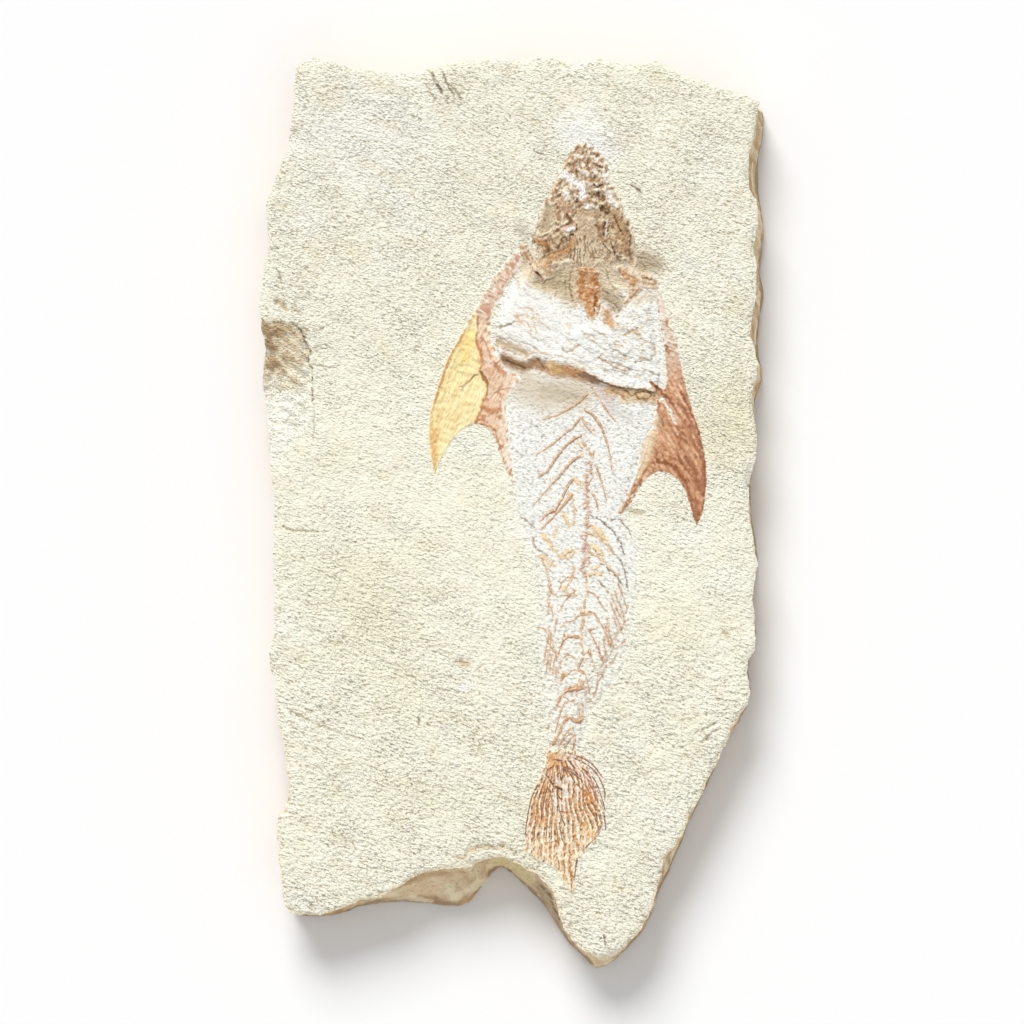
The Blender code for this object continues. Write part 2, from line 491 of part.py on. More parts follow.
TAIL_RAYS = [
    [(8.6, -48.6), (6.6, -53.6), (5.2, -58.6), (3.8, -65.8)],
    [(9.2, -49.0), (7.6, -54.8), (6.4, -61.0), (5.6, -67.8)],
    [(9.9, -49.2), (9.0, -55.6), (8.4, -62.4), (8.0, -69.0)],
    [(10.6, -49.2), (10.6, -56.2), (10.6, -63.4), (11.6, -74.2)],
    [(11.3, -49.0), (12.2, -55.6), (12.8, -61.6), (12.9, -67.0)],
    [(12.0, -48.8), (13.8, -54.4), (15.0, -59.6), (15.4, -65.4)],
    [(12.8, -48.8), (15.2, -53.2), (16.8, -57.6), (17.6, -62.0)],
]


def fin_lift(rays, film, ray_width, ray_height):
    """Thickness of a fin: a thin film of skin with its rays as ridges."""
    return lambda x, y: film + ridges(x, y, rays, ray_width, ray_height)


# ---- The backbone with its ribs and arcs ----

COLUMN = [
    (15.5, 25.0), (15.4, 20.6), (15.2, 16.6), (15.0, 9.8), (14.8, 4.0), (14.6, -1.2), (14.6, -6.6),
    (14.6, -12.2), (14.2, -20.2), (14.0, -28.4), (13.4, -35.2), (12.6, -41.2), (11.0, -46.4),
]
COLUMN_WIDTH, COLUMN_TIP_WIDTH = 1.5, 3.4
VERTEBRA_PITCH, VERTEBRA_HEIGHT = 2.9, 0.35
RIB_WIDTH, RIB_TIP_WIDTH = 1.0, 0.45
RIBS = [
    [(15.2, 24.4), (13.6, 22.4), (11.2, 21.0), (9.0, 20.0), (6.2, 19.0)],
    [(14.9, 19.8), (12.0, 17.2), (9.6, 15.2), (7.2, 13.2), (5.0, 11.8)],
    [(14.9, 16.4), (11.6, 14.6), (9.0, 12.2), (7.4, 9.8), (5.2, 7.2)],
    [(14.7, 12.2), (11.6, 10.2), (9.6, 7.8), (7.8, 5.8), (5.6, 3.4)],
    [(14.6, 9.0), (11.6, 5.2), (10.0, 2.4), (8.6, 0.6), (5.8, -1.8)],
    [(14.4, 5.6), (10.8, 1.8), (8.6, -0.8), (6.4, -3.2)],
    [(15.6, 24.8), (17.2, 23.0), (18.8, 21.0), (20.8, 18.4)],
    [(15.5, 20.8), (17.6, 17.8), (19.0, 14.6), (19.8, 11.6), (20.2, 9.2)],
    [(15.1, 10.8), (17.2, 8.0), (18.2, 5.6), (18.8, 2.8)],
    [(14.9, -2.4), (17.4, -4.6), (20.0, -7.2)],
    [(14.9, -6.4), (17.4, -8.8), (20.4, -12.0)],
    [(14.7, -13.8), (16.4, -16.0), (17.4, -19.4)],
    [(14.5, -19.0), (16.4, -21.0), (17.8, -24.6)],
    [(14.2, -24.8), (12.4, -24.4), (10.4, -25.2)],
    [(13.8, -31.6), (12.0, -31.4), (10.3, -32.6)],
    [(13.5, -34.6), (11.4, -34.8), (9.8, -36.6), (8.8, -39.0)],
    [(12.8, -40.6), (10.8, -41.2), (9.2, -43.4)],
]


def backbone_lift(x, y):
    column = max(0.0, 1 - line_distance(x, y, COLUMN) / COLUMN_WIDTH)
    beads = VERTEBRA_HEIGHT * (0.5 + 0.5 * math.cos(2 * math.pi * y / VERTEBRA_PITCH))
    return 0.3 + column * (0.3 + beads) + ridges(x, y, RIBS, RIB_WIDTH, 0.3)


def vertebra_line():
    """The column's crest with two points for each vertebra, so that the beads show."""
    fine = []
    for (ax, ay), (bx, by) in zip(COLUMN, COLUMN[1:]):
        steps = max(1, round(math.hypot(bx - ax, by - ay) / (VERTEBRA_PITCH / 2)))
        fine += [(ax + (bx - ax) * i / steps, ay + (by - ay) * i / steps) for i in range(steps)]
    return fine[1:]


# ---- Assembly ----

for old in list(bpy.data.objects):
    bpy.data.objects.remove(old, do_unlink=True)

limestone = coat("limestone", (0.86, 0.81, 0.66), 0.9)
skull_bone = coat("skull_bone", (0.44, 0.28, 0.16), 0.75)
rust_bone = coat("rust_bone", (0.55, 0.25, 0.11), 0.75)
dark_bone = coat("dark_bone", (0.38, 0.24, 0.14), 0.75)
orange_bone = coat("orange_bone", (0.62, 0.36, 0.17), 0.75)
yellow_vane = coat("yellow_vane", (0.80, 0.55, 0.20), 0.7)
red_vane = coat("red_vane", (0.46, 0.20, 0.12), 0.7)
spine_bone = coat("spine_bone", (0.66, 0.38, 0.22), 0.75)
fringe_bone = coat("fringe_bone", (0.56, 0.32, 0.20), 0.75)
tail_bone = coat("tail_bone", (0.60, 0.30, 0.14), 0.75)

plate = make_plate()
stone_face = BVHTree.FromBMesh(plate)


def ground(x, y):
    """Height of the stone as its facets really lie."""
    hit = stone_face.ray_cast(Vector((x, y, 2 * FACE_HEIGHT)), Vector((0, 0, -1)))
    return hit[0].z


finish("limestone_slab", plate, limestone)
make_relief("skull", skull_bone, ground, [SKULL], skull_lift, SKULL_RIDGES, 1.6)
make_relief("throat_bone", rust_bone, ground, [THROAT],
            lambda x, y: 0.5 + 0.2 * unevenness(x, y, 1.3), spacing=1.7)
make_relief("left_shoulder_bone", dark_bone, ground, [LEFT_SHOULDER],
            lambda x, y: 0.35 + 0.5 * smooth(depth_inside(x, y, LEFT_SHOULDER) / 0.7),
            [[(2.6, 52.9), (3.6, 51.0), (4.8, 49.0), (5.6, 47.6)]])
make_relief("right_shoulder_bone", orange_bone, ground, [RIGHT_SHOULDER],
            lambda x, y: 0.35 + 0.5 * smooth(depth_inside(x, y, RIGHT_SHOULDER) / 0.7),
            [[(21.6, 48.6), (24.6, 46.8), (28.6, 46.1)], [(24.6, 46.0), (23.2, 42.8)]])
make_relief("left_pectoral_fin", yellow_vane, ground, [LEFT_FIN],
            fin_lift(LEFT_FIN_RAYS, 0.3, 1.0, 0.4), LEFT_FIN_RAYS, 2.2)
make_relief("right_pectoral_fin", red_vane, ground, [RIGHT_FIN],
            fin_lift(RIGHT_FIN_RAYS, 0.3, 1.0, 0.4), RIGHT_FIN_RAYS, 2.2)
column_outline = strip(COLUMN, COLUMN_WIDTH, COLUMN_TIP_WIDTH)
rib_outlines = [strip(rib, RIB_WIDTH, RIB_TIP_WIDTH) for rib in RIBS]
make_relief("backbone", spine_bone, ground, [column_outline] + rib_outlines, backbone_lift, [vertebra_line()])
make_relief("dorsal_fin", fringe_bone, ground, [DORSAL_FIN],
            fin_lift(DORSAL_RAYS, 0.25, 0.5, 0.35), DORSAL_RAYS)
make_relief("anal_fin", fringe_bone, ground, [ANAL_FIN],
            fin_lift(ANAL_RAYS, 0.25, 0.5, 0.35), ANAL_RAYS)
make_relief("tail_fin", tail_bone, ground, [TAIL_FIN],
            fin_lift(TAIL_RAYS, 0.3, 0.8, 0.4), TAIL_RAYS, 2.2)
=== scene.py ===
import math

import bmesh
import bpy
import numpy as np
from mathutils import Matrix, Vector
from mathutils.geometry import delaunay_2d_cdt


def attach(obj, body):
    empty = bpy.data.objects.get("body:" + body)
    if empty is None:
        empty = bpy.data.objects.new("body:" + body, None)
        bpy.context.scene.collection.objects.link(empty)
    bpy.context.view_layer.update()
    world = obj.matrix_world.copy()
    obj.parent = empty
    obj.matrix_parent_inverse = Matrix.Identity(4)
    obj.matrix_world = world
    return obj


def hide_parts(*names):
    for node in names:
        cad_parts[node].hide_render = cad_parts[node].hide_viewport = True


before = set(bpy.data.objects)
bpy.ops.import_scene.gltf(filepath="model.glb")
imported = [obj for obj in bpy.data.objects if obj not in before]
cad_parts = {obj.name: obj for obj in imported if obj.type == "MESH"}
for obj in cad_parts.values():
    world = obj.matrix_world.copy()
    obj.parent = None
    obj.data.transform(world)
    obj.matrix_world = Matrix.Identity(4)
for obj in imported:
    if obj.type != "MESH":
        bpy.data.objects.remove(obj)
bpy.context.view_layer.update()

MM = 0.001

# ======================================================================================================
# The limestone plate
# One broken slab of fine cream limestone. Its face was split along the bedding and brushed clean, so it has
# a close, slightly streaked grain; its sides are raw breaks, tan where they are fresh, and its back is flat.
# ======================================================================================================

FACE_HEIGHT = 12.0              # mm, underside to the plain part of the face
GRAIN_STEP = 0.53               # mm between the points of the fine face
UNDER_FISH_STEP = 1.3           # mm between them where the fish's own relief covers the stone
BACK_STEP = 1.7                 # mm between the points of the back
SUNK = 0.12                     # mm that the edges of bones and fins lie sunk in the stone
CREAM = (252, 249, 230)         # colours are given as 0 to 255, as a paint chart does
CHALK = (250, 250, 244)
STRAW = (246, 239, 206)
FRESH_BREAK_AND_RIM_SHADE = (255, 238, 204)
DARK_BREAK = (206, 172, 130)
LIT_FACET_HIGHLIGHT = (255, 243, 206)
BEIGE = (226, 208, 178)
OLIVE_BREAK = (240, 222, 170)

# The rim, clockwise from the top left corner. Along the top and the left the foot is tucked in under it.
TOP_EDGE = [
    (-43.2, 89.6), (-39.8, 91.4), (-36, 90.8), (-32.8, 89.4), (-26.4, 88.6), (-23, 88), (-17.6, 88.8),
    (-15, 89.6), (-10.2, 90.7), (-4.4, 91), (-1.4, 90.8), (3.6, 91.4), (6.2, 91.4), (10.6, 90.8),
    (13.6, 90.8), (17.6, 91.2), (19.8, 90.6), (22.4, 90), (24.2, 90), (28.8, 90.6), (32.8, 88.6),
    (35.6, 87.4), (37.6, 87), (41.6, 85.4), (46.6, 83.8), (49.6, 82.5),
]
# Along the right, the point and the notch the wall flares out: rim x, rim y, foot x, foot y.
RIGHT_EDGE = [
    (49.4, 81.4, 50.8, 80.6), (49, 78.8, 50.6, 78.4), (48.4, 75.8, 50.4, 75.8), (47.8, 72.8, 50, 72.4),
    (47.4, 70.2, 49.8, 69.6), (47.6, 64.8, 49.6, 65.2), (49, 63, 50, 62.2), (49.4, 58.4, 50.6, 58.6),
    (48.6, 53.8, 50.6, 54.8), (49, 50.4, 50, 48.8), (49, 46.8, 50.8, 44.8), (49, 42.8, 50.6, 42.2),
    (48.4, 40.8, 50, 39.2), (48, 35.8, 49.6, 34.8), (49, 31.8, 49.8, 31.4), (49.4, 30, 50.6, 29.2),
    (48.8, 26.4, 50.4, 26.8), (47.8, 22.8, 49, 22.8), (48.6, 19.8, 49, 20.4), (49, 16.8, 49.2, 16.8),
    (49, 11.8, 49.2, 12.4), (47.6, 6.8, 48, 6.2), (47.6, 0.8, 48.2, 0.8), (48.2, -3.2, 48.8, -3.8),
    (48.6, -7.6, 49.4, -7.8), (49.3, -10, 49.6, -10.2), (48.6, -13.6, 49, -13.6),
    (48.4, -18.2, 48.8, -18.2), (48.8, -24.2, 49.2, -24.2), (48.6, -27.2, 49, -27.2),
    (47.4, -29.2, 47.9, -29.2), (47.2, -31.6, 47.6, -31.6), (47.8, -35, 48.3, -35.2),
]
POINT_EDGE = [
    (47.2, -38.4, 47.6, -38.8), (46, -39.6, 46.4, -40.6), (44.6, -41.8, 45, -43.2),
    (42.8, -46.2, 43.6, -45.8), (41.2, -49.6, 41.7, -49.6), (40, -51.6, 40.5, -52.2),
    (38, -56.4, 38.8, -55.8), (35.6, -60.2, 37, -59.8), (34.6, -63.6, 35.2, -63.6),
    (32.8, -66.4, 34.4, -66.2), (30.6, -68.8, 32.8, -69.6), (30.4, -71.6, 32, -71.8),
    (29, -75.8, 30, -75.8), (27.6, -80, 28.6, -80), (26, -83.2, 26.8, -83.4),
    (23.2, -86, 23.8, -86.6), (21, -88.4, 21, -89.8), (18.8, -88.8, 18.8, -91.2),
    (17, -89, 16.8, -91.4), (13.6, -87.2, 14.2, -89.2), (12, -85.6, 11.8, -86.8),
]
NOTCH_EDGE = [
    (10.4, -83.4, 9.6, -83.8), (9.4, -80.4, 7.6, -80.8), (8.8, -77.8, 5.8, -78.4), (8, -75.6, 4, -76.6),
    (6.2, -73.6, 2.4, -75), (4.6, -72, 1, -73.6), (2.6, -71, -0.2, -72.4), (0.6, -70, -1.2, -71.6),
    (-1, -69, -2.2, -71.2), (-2.4, -68.8, -3, -71.6), (-4.4, -69, -4.2, -72.6),
    (-6.4, -69.6, -5.4, -74.2), (-8, -70.6, -6.8, -76.4), (-9.4, -71, -8.6, -78.2),
    (-11.2, -71, -10.8, -79.2), (-13.4, -71.2, -13.6, -79), (-16.4, -71.6, -16.4, -78.6),
    (-18.8, -72.4, -19.4, -78.4), (-21.4, -74, -22.4, -78.2), (-24, -75.4, -25.4, -78.4),
    (-26.4, -76.8, -28, -78.8), (-29.4, -77.4, -31, -79.4), (-32.4, -78.2, -33.4, -80.2),
    (-35.4, -79.4, -36.4, -81), (-38.4, -80.4, -39.4, -81.1), (-42.2, -80.2, -42.4, -80.9),
]
LEFT_EDGE = [
    (-44.2, -80), (-45.2, -78.8), (-45.8, -77), (-46.2, -74), (-46.8, -68.2), (-47.2, -62.2),
    (-46.6, -60), (-45.2, -57.6), (-44.6, -56), (-44.8, -53.2), (-45.6, -47.6), (-46.6, -43.2),
    (-47.2, -38.2), (-47.6, -34.6), (-48.4, -30.8), (-48.6, -27.6), (-47.8, -23.6), (-47.6, -20.2),
    (-47.8, -14.8), (-47.9, -8), (-47.8, -1.2), (-47.6, 2.8), (-48.4, 6.8), (-48.6, 11.8), (-49, 18.8),
    (-49.8, 24.8), (-50.2, 27.8), (-49.4, 32.8), (-50.2, 37.2), (-50.8, 41.8), (-50.4, 45.8), (-49.6, 49.8),
    (-48.8, 53.8), (-49, 56.8), (-49.4, 60.8), (-49, 63), (-48, 65.4), (-46.8, 68.4), (-45.8, 71.4),
    (-44.8, 73.2), (-44.2, 78.8), (-43.8, 82.8), (-43.6, 86),
]
UNDERCUT, FOOT_CHAMFER = 0.7, 0.6
WALL_RINGS = 22                 # rows of points down the broken wall
# The wall's profile: share of the height gone down, and share of the way out from rim to foot.
WALL_DOWN = (0.0, 0.20, 0.42, 0.64, 0.88, 0.97, 1.0)
WALL_OUT = (0.0, 0.14, 0.52, 0.86, 1.0, 0.99, 0.96)

# The raised breast, a lumpy bed of stone over the fish's chest; its lower edge is a broken ledge.
BREAST_LEFT = [(3.6, 50.4), (0.8, 47.8), (-1.0, 44.8), (-2.6, 41.8), (-3.8, 38.8), (-3.4, 34.6)]
LIP = [
    (-2.4, 32), (-0.4, 31.2), (2, 30.4), (3.6, 31), (5, 31.8), (6.6, 31.2), (8, 30.8), (9.6, 30.4),
    (11.6, 29.8), (13.6, 29), (15, 28), (17.6, 26.6), (20, 25.8), (22, 25.3), (25.6, 25), (28.6, 24.4),
]
LEDGE_FOOT = [
    (-2.4, 31.6), (-1, 30.2), (0.6, 29), (2.6, 28.6), (4.6, 29), (6.4, 28.4), (7.6, 27.6), (8.8, 27),
    (11.6, 27.4), (13.6, 27), (15.6, 26.4), (17.6, 25.8), (20, 25.2), (22, 24.8), (25.6, 24.5), (28.6, 24.1),
]
BREAST_RIGHT = [
    (29.8, 29.8), (29, 35.8), (28.4, 42.4), (25.6, 44.6), (21.6, 42), (18.6, 38.4), (12.6, 38.6),
    (9, 42.4), (6.6, 46.8),
]
BREAST = BREAST_LEFT + LIP + BREAST_RIGHT
LEDGE_FACE = LIP + LEDGE_FOOT[::-1]
BREAST_HEIGHT, BREAST_RIGHT_HEIGHT, BREAST_BLEND = 1.3, 0.7, 2.6
BODY = [
    (-0.6, 31), (-1, 20), (-1, 11), (0.2, 5), (3.6, -5.2), (6.4, -17.2), (7.6, -27.2),
    (8.2, -37.2), (7.4, -47), (13.4, -47), (16, -37.2), (20.6, -29.2), (23.6, -17.2), (24, -9.2),
    (22.6, -0.2), (26, 8.8), (28, 16), (28.6, 26), (14, 30),
]
BODY_HEIGHT, BODY_BLEND = 0.5, 3.0
HEAD_MOUND = [(14.6, 75.0), (9.0, 66.0), (4.0, 54.0), (6.0, 48.0), (14.0, 45.0), (23.0, 47.0), (25.0, 54.0),
              (20.0, 66.0)]
HEAD_HEIGHT, HEAD_BLEND = 0.8, 4.0
# The white bed of the fish: chest and body. Its own fine relief is a piece by itself, laid over the plate's.
BED = [
    (0.6, 52.8), (-1.4, 47.8), (-3, 42.8), (-4, 36.8), (-4.4, 32.4), (-3, 26.8), (-1.8, 20.8), (-1.4, 14.8),
    (-1, 8.8), (0, 2.8), (2, -4.2), (4.6, -11.2), (5.2, -19.2), (4.8, -27.2), (5.6, -35.2), (7, -41.2),
    (6.6, -46.8), (14.6, -46.8), (16, -40.2), (19.2, -36.2), (22.6, -31.2), (24, -25.2), (25.2, -19.2),
    (25.6, -13.2), (25.6, -7.2), (24, -2.2), (22.6, 0.4), (25.6, 6.8), (28, 12.8), (29.2, 18.8), (30.4, 22.8),
    (31.6, 26.8), (31.6, 34.8), (30.8, 42.8), (29, 47.8), (25.6, 50.4), (17.6, 50.4), (9.6, 50.4),
    (4.6, 51.8),
]
SKULL = [
    (13.2, 74.6), (14.2, 75.2), (15.6, 74.2), (18, 72.6), (19.4, 70.2), (20.2, 66.8), (21.4, 63.8),
    (22.8, 61.2), (24, 58.8), (24.9, 55.8), (25.3, 51.8), (24.8, 49.4), (21.6, 49.8), (18.6, 49),
    (15.6, 48.8), (12.4, 48.9), (9.6, 48), (7.2, 47), (5.2, 49.6), (4.4, 52.4), (3.4, 54.4), (4.4, 57.8),
    (5, 60.4), (6.2, 63.2), (7.4, 65.4), (8.6, 68.2), (10, 70.4), (11.6, 73),
]
BED_DROP, SKULL_DROP = 0.9, 1.4     # how far the plate's own face lies lower under those two pieces

# The hollow in the left edge, where a flake has come off along a crack.
SCAR_CRACK = [(-41.6, 38.0), (-40.6, 35.8), (-40.0, 32.0), (-40.1, 26.0), (-40.4, 20.0), (-41.2, 15.0),
              (-42.8, 11.0)]
SCAR = SCAR_CRACK + [(-46.0, 8.6), (-53.0, 7.6), (-53.0, 40.0), (-46.0, 39.4)]
SCAR_TOP, SCAR_DEEPEST, SCAR_BOTTOM = 39.4, 27.0, 8.0
SCAR_STEP, SCAR_DEPTH, SCAR_STEP_WIDTH = 0.9, 3.2, 0.6
# The stone has closer points beside its thin marks and in the hollow: a line, their reach and their step.
MARK_REACH, MARK_STEP = 0.7, 0.24
SCAR_FINE = ([(-47, 37), (-46.4, 12)], 5.4, 0.32)
# Flakes lost from the rim: middle x, y, radius and depth.
CHIPS = [
    (3.4, 92.6, 5, 1), (12, 92.2, 4.2, 0.8), (25, 92, 4, 1), (-39, 92.4, 4.6, 0.9),
    (50, 52, 3.4, 1), (49.6, 6, 4, 0.7), (-49, -31, 3.6, 0.8), (-46.5, -57, 3.4, 0.9),
    (20, -90, 3.6, 0.9), (38.4, -60, 3, 0.7), (-51, 56, 3.4, 0.8), (-44, 75, 3, 0.6),
]


def soft(share):
    """Goes softly from 0 to 1 as share does."""
    share = np.clip(share, 0.0, 1.0)
    return share * share * (3 - 2 * share)


def off_line(x, y, line, closed=False):
    """Distance in mm from each point to a line."""
    corners = line + line[:1] if closed else line
    nearest = np.full(np.shape(x), 1e9)
    for (ax, ay), (bx, by) in zip(corners, corners[1:]):
        dx, dy = bx - ax, by - ay
        along = np.clip(((x - ax) * dx + (y - ay) * dy) / max(dx * dx + dy * dy, 1e-9), 0, 1)
        nearest = np.minimum(nearest, np.hypot(x - ax - along * dx, y - ay - along * dy))
    return nearest


def within(x, y, outline):
    """Which points lie inside a closed outline."""
    odd = np.zeros(np.shape(x), bool)
    for (ax, ay), (bx, by) in zip(outline, outline[1:] + outline[:1]):
        if ay != by:
            odd ^= ((ay > y) != (by > y)) & (x < ax + (y - ay) / (by - ay) * (bx - ax))
    return odd


def depth_in(x, y, outline):
    """How far inside a closed outline each point lies; negative outside it."""
    away = off_line(x, y, outline, closed=True)
    return np.where(within(x, y, outline), away, -away)


def bumps(x, y, hills):
    """Round hills, each with its middle, radius and height; a negative height is a pit."""
    total = np.zeros(np.shape(x))
    for middle_x, middle_y, radius, height in hills:
        total += height * (1 - soft(np.hypot(x - middle_x, y - middle_y) / radius))
    return total


def relief_noise(x, y, length, width=None, turn=0.0, seed=0):
    """Smooth random relief from about -1 to 1. Its grain has a length and width in mm, turned by degrees."""
    c, s = math.cos(math.radians(turn)), math.sin(math.radians(turn))
    u, v = (x * c + y * s) / length, (y * c - x * s) / (width or length)
    low_u, low_v = np.floor(u).astype(int), np.floor(v).astype(int)
    part_u, part_v = u - low_u, v - low_v
    angle = np.random.default_rng(seed).uniform(0, 2 * math.pi, (256, 256))

    def pull(i, j):
        a = angle[(low_u + i) % 256, (low_v + j) % 256]
        return np.cos(a) * (part_u - i) + np.sin(a) * (part_v - j)

    wide, high = soft(part_u), soft(part_v)
    low = pull(0, 0) * (1 - wide) + pull(1, 0) * wide
    top = pull(0, 1) * (1 - wide) + pull(1, 1) * wide
    return 1.6 * (low * (1 - high) + top * high)


def breast_lift(x, y):
    """How high the breast stands over the plain face, in mm."""
    full = BREAST_HEIGHT + (BREAST_RIGHT_HEIGHT - BREAST_HEIGHT) * soft((x - 14.0) / 12.0)
    side = np.minimum(off_line(x, y, BREAST_LEFT), off_line(x, y, BREAST_RIGHT))
    from_foot, from_lip = off_line(x, y, LEDGE_FOOT), off_line(x, y, LIP)
    falling = within(x, y, LEDGE_FACE) * from_foot / (from_foot + from_lip + 1e-6)
    return full * soft(side / BREAST_BLEND) * np.where(within(x, y, BREAST), 1.0, falling)


def scar_inside(x, y):
    """How far inside the hollow's torn edge each point lies."""
    torn_x = x + 0.8 * relief_noise(x, y, 2.4, seed=26)
    torn_y = y + 1.1 * relief_noise(x, y, 2.2, seed=27)
    return depth_in(torn_x, torn_y, SCAR)


def scar_drop(x, y):
    """How deep the hollow is, in mm."""
    falling = soft((SCAR_TOP - y) / (SCAR_TOP - SCAR_DEEPEST))
    rising = soft((y - SCAR_BOTTOM) / (SCAR_DEEPEST - SCAR_BOTTOM))
    outwards = SCAR_STEP + (SCAR_DEPTH - SCAR_STEP) * soft((-40.5 - x) / 9.0)
    lumps = 0.55 * relief_noise(x, y, 3.4, 1.5, -36, 21) + 0.42 * relief_noise(x, y, 1.6, 0.9, -36, 22)
    drop = outwards * falling * rising + lumps * falling * (0.25 + 0.75 * rising)
    return drop * soft(scar_inside(x, y) / SCAR_STEP_WIDTH)


def ground(x, y):
    """Height of the stone in mm, without its fine grain. The fish's bones and fins follow it."""
    height = FACE_HEIGHT + 0.22 * relief_noise(x, y, 34.0, seed=1)
    height += 0.08 * relief_noise(x, y, 11.0, 8.0, -25, 2)
    height += breast_lift(x, y)
    height += BODY_HEIGHT * soft(depth_in(x, y, BODY) / BODY_BLEND)
    height += HEAD_HEIGHT * soft(depth_in(x, y, HEAD_MOUND) / HEAD_BLEND)
    return height - scar_drop(x, y) - bumps(x, y, CHIPS)


def lowered(x, y):
    """How far the plate's own face lies lower under the bed and the skull, which are pieces by themselves."""
    return np.maximum(BED_DROP * soft((depth_in(x, y, BED) - 0.5) / 1.2),
                      SKULL_DROP * soft((depth_in(x, y, SKULL) - 0.6) / 1.2))


def grain(x, y):
    """The stone's fine grain in mm: short streaks down to the right, flatter and coarser towards the foot."""
    upper = relief_noise(x, y, 2.1, 0.95, -31, 3) + 0.6 * relief_noise(x, y, 1.2, 0.8, -20, 4)
    lower = relief_noise(x, y, 2.7, 1.1, -16, 5) + 0.6 * relief_noise(x, y, 1.4, 0.9, -8, 6)
    share = soft((y + 30.0) / 60.0)
    return 0.15 * (upper * share + lower * (1 - share)) + 0.10 * relief_noise(x, y, 4.6, 3.2, -24, 7)


def face_tint(x, y):
    """The stone's colour over the face: cream, yellower in places, and chalk white along the fish."""
    straw = bumps(x, y, [
        (-35, 12, 10, 0.4), (-29, -17, 22, 0.6), (42, 18, 18, 0.7), (-18, -52, 22, 0.3),
        (36, -24, 14, 0.3), (-34, 66, 16, 0.2),
    ])
    tint = mixed(CREAM, STRAW, straw + 0.25 * relief_noise(x, y, 14.0, seed=8))
    white = soft((depth_in(x, y, BED) + 1.0) / 3.6) * (0.62 + 0.38 * soft((y + 24.0) / 20.0))
    white += bumps(x, y, [(14.0, 76.0, 8.0, 0.9), (19.0, 73.0, 6.0, 0.8), (-30.0, 74.0, 24.0, 0.5)])
    tint = mixed(tint, CHALK, white + 0.3 * relief_noise(x, y, 9.0, seed=9).clip(0, 1))
    rough = soft((relief_noise(x, y, 7.0, 4.0, -30, 18) - 0.1) / 0.8) * (1 - soft(depth_in(x, y, BED) + 1.0))
    tint = mixed(tint, (238, 228, 198), 0.36 * rough)
    beige = bumps(x, y, [(6, 49, 6, 0.9), (15, 47, 7, 1), (26, 50.6, 5, 0.8)])
    return mixed(tint, BEIGE, beige)


def drawn(x, y, height, tint, features, waver=0.12, ragged=0.35):
    """Adds ridges, grooves and stains in place. Each has its line, half width, rise, colour and share."""
    wavy_x = x + waver * relief_noise(x, y, 0.9, seed=51) + waver * relief_noise(x, y, 2.5, seed=53)
    wavy_y = y + waver * relief_noise(x, y, 0.9, seed=52) + waver * relief_noise(x, y, 2.5, seed=54)
    torn = ragged * (relief_noise(x, y, 0.8, 0.6, -30, 55) + 0.7 * relief_noise(x, y, 0.42, 0.36, -30, 56))
    for line, width, rise, colour, share in features:
        xs, ys = zip(*line)
        near = (x > min(xs) - width - 1) & (x < max(xs) + width + 1)
        near &= (y > min(ys) - width - 1) & (y < max(ys) + width + 1)
        if near.any():
            away = off_line(wavy_x[near], wavy_y[near], line) / width
            full = soft(1.15 * (1 - away) + torn[near] * min(1.0, 1.0 / width) * soft(1.4 * (1 - away) + 0.3))
            height[near] += rise * full
            tint[near] = mixed(tint[near], colour, share * full)


def walked(outline, step):
    """Points at even steps along a closed outline, each with its place in the outline's list."""
    found = []
    for index, (a, b) in enumerate(zip(outline, outline[1:] + outline[:1])):
        count = max(1, round(math.dist(a, b) / step))
        found += [(a[0] + (b[0] - a[0]) * i / count, a[1] + (b[1] - a[1]) * i / count, index + i / count)
                  for i in range(count)]
    return np.array(found)


def grid_over(low_x, high_x, low_y, high_y, step, seed):
    """Points of a slightly disordered triangular grid."""
    up = np.arange(low_y, high_y, step * math.sqrt(3) / 2)
    x, y = np.meshgrid(np.arange(low_x, high_x, step), up)
    x = x + (np.arange(len(up)) % 2)[:, None] * step / 2
    jitter = np.random.default_rng(seed).uniform(-0.2, 0.2, (2, *x.shape)) * step
    return (x + jitter[0]).ravel(), (y + jitter[1]).ravel()


def scattered(outline, step, clear, seed=0, fine=()):
    """Loose points inside an outline, and closer ones beside each fine line, which has its reach and step."""
    xs, ys = zip(*outline)
    x, y = grid_over(min(xs), max(xs), min(ys), max(ys), step, seed)
    kept = within(x, y, outline)
    x, y = x[kept], y[kept]
    kept = off_line(x, y, outline, closed=True) > clear
    for line, reach, _ in fine:
        kept &= off_line(x, y, line) > reach
    found = [(x[kept], y[kept])]
    for index, (line, reach, small) in enumerate(fine):
        xs, ys = zip(*line)
        x, y = grid_over(min(xs) - reach, max(xs) + reach, min(ys) - reach, max(ys) + reach, small, seed)
        kept = (off_line(x, y, line) < reach) & within(x, y, outline)
        kept &= off_line(x, y, outline, closed=True) > min(clear, small)
        for other, other_reach, _ in fine[:index]:
            kept &= off_line(x, y, other) > other_reach
        found.append((x[kept], y[kept]))
    return tuple(np.concatenate(values) for values in zip(*found))


def sheet(rim, x, y):
    """A bmesh of small triangles over the loose points inside a closed rim of points, and the rim's vertices
    in order."""
    points = [Vector(p) for p in zip(np.append(rim[:, 0], x).tolist(), np.append(rim[:, 1], y).tolist())]
    ahead = points[1:len(rim)] + points[:1]
    turned = sum(a.x * b.y - b.x * a.y for a, b in zip(points[:len(rim)], ahead)) < 0
    ring = list(range(len(rim)))
    border = ring[::-1] if turned else ring
    corners, _, triangles, sources, _, _ = delaunay_2d_cdt(points, [], [border], 1, 1e-5)
    bm = bmesh.new()
    verts = [bm.verts.new((corner.x, corner.y, 0.0)) for corner in corners]
    for triangle in triangles:
        bm.faces.new([verts[i] for i in triangle])
    became = {source: i for i, found in enumerate(sources) for source in found}
    return bm, [verts[became[i]] for i in ring]


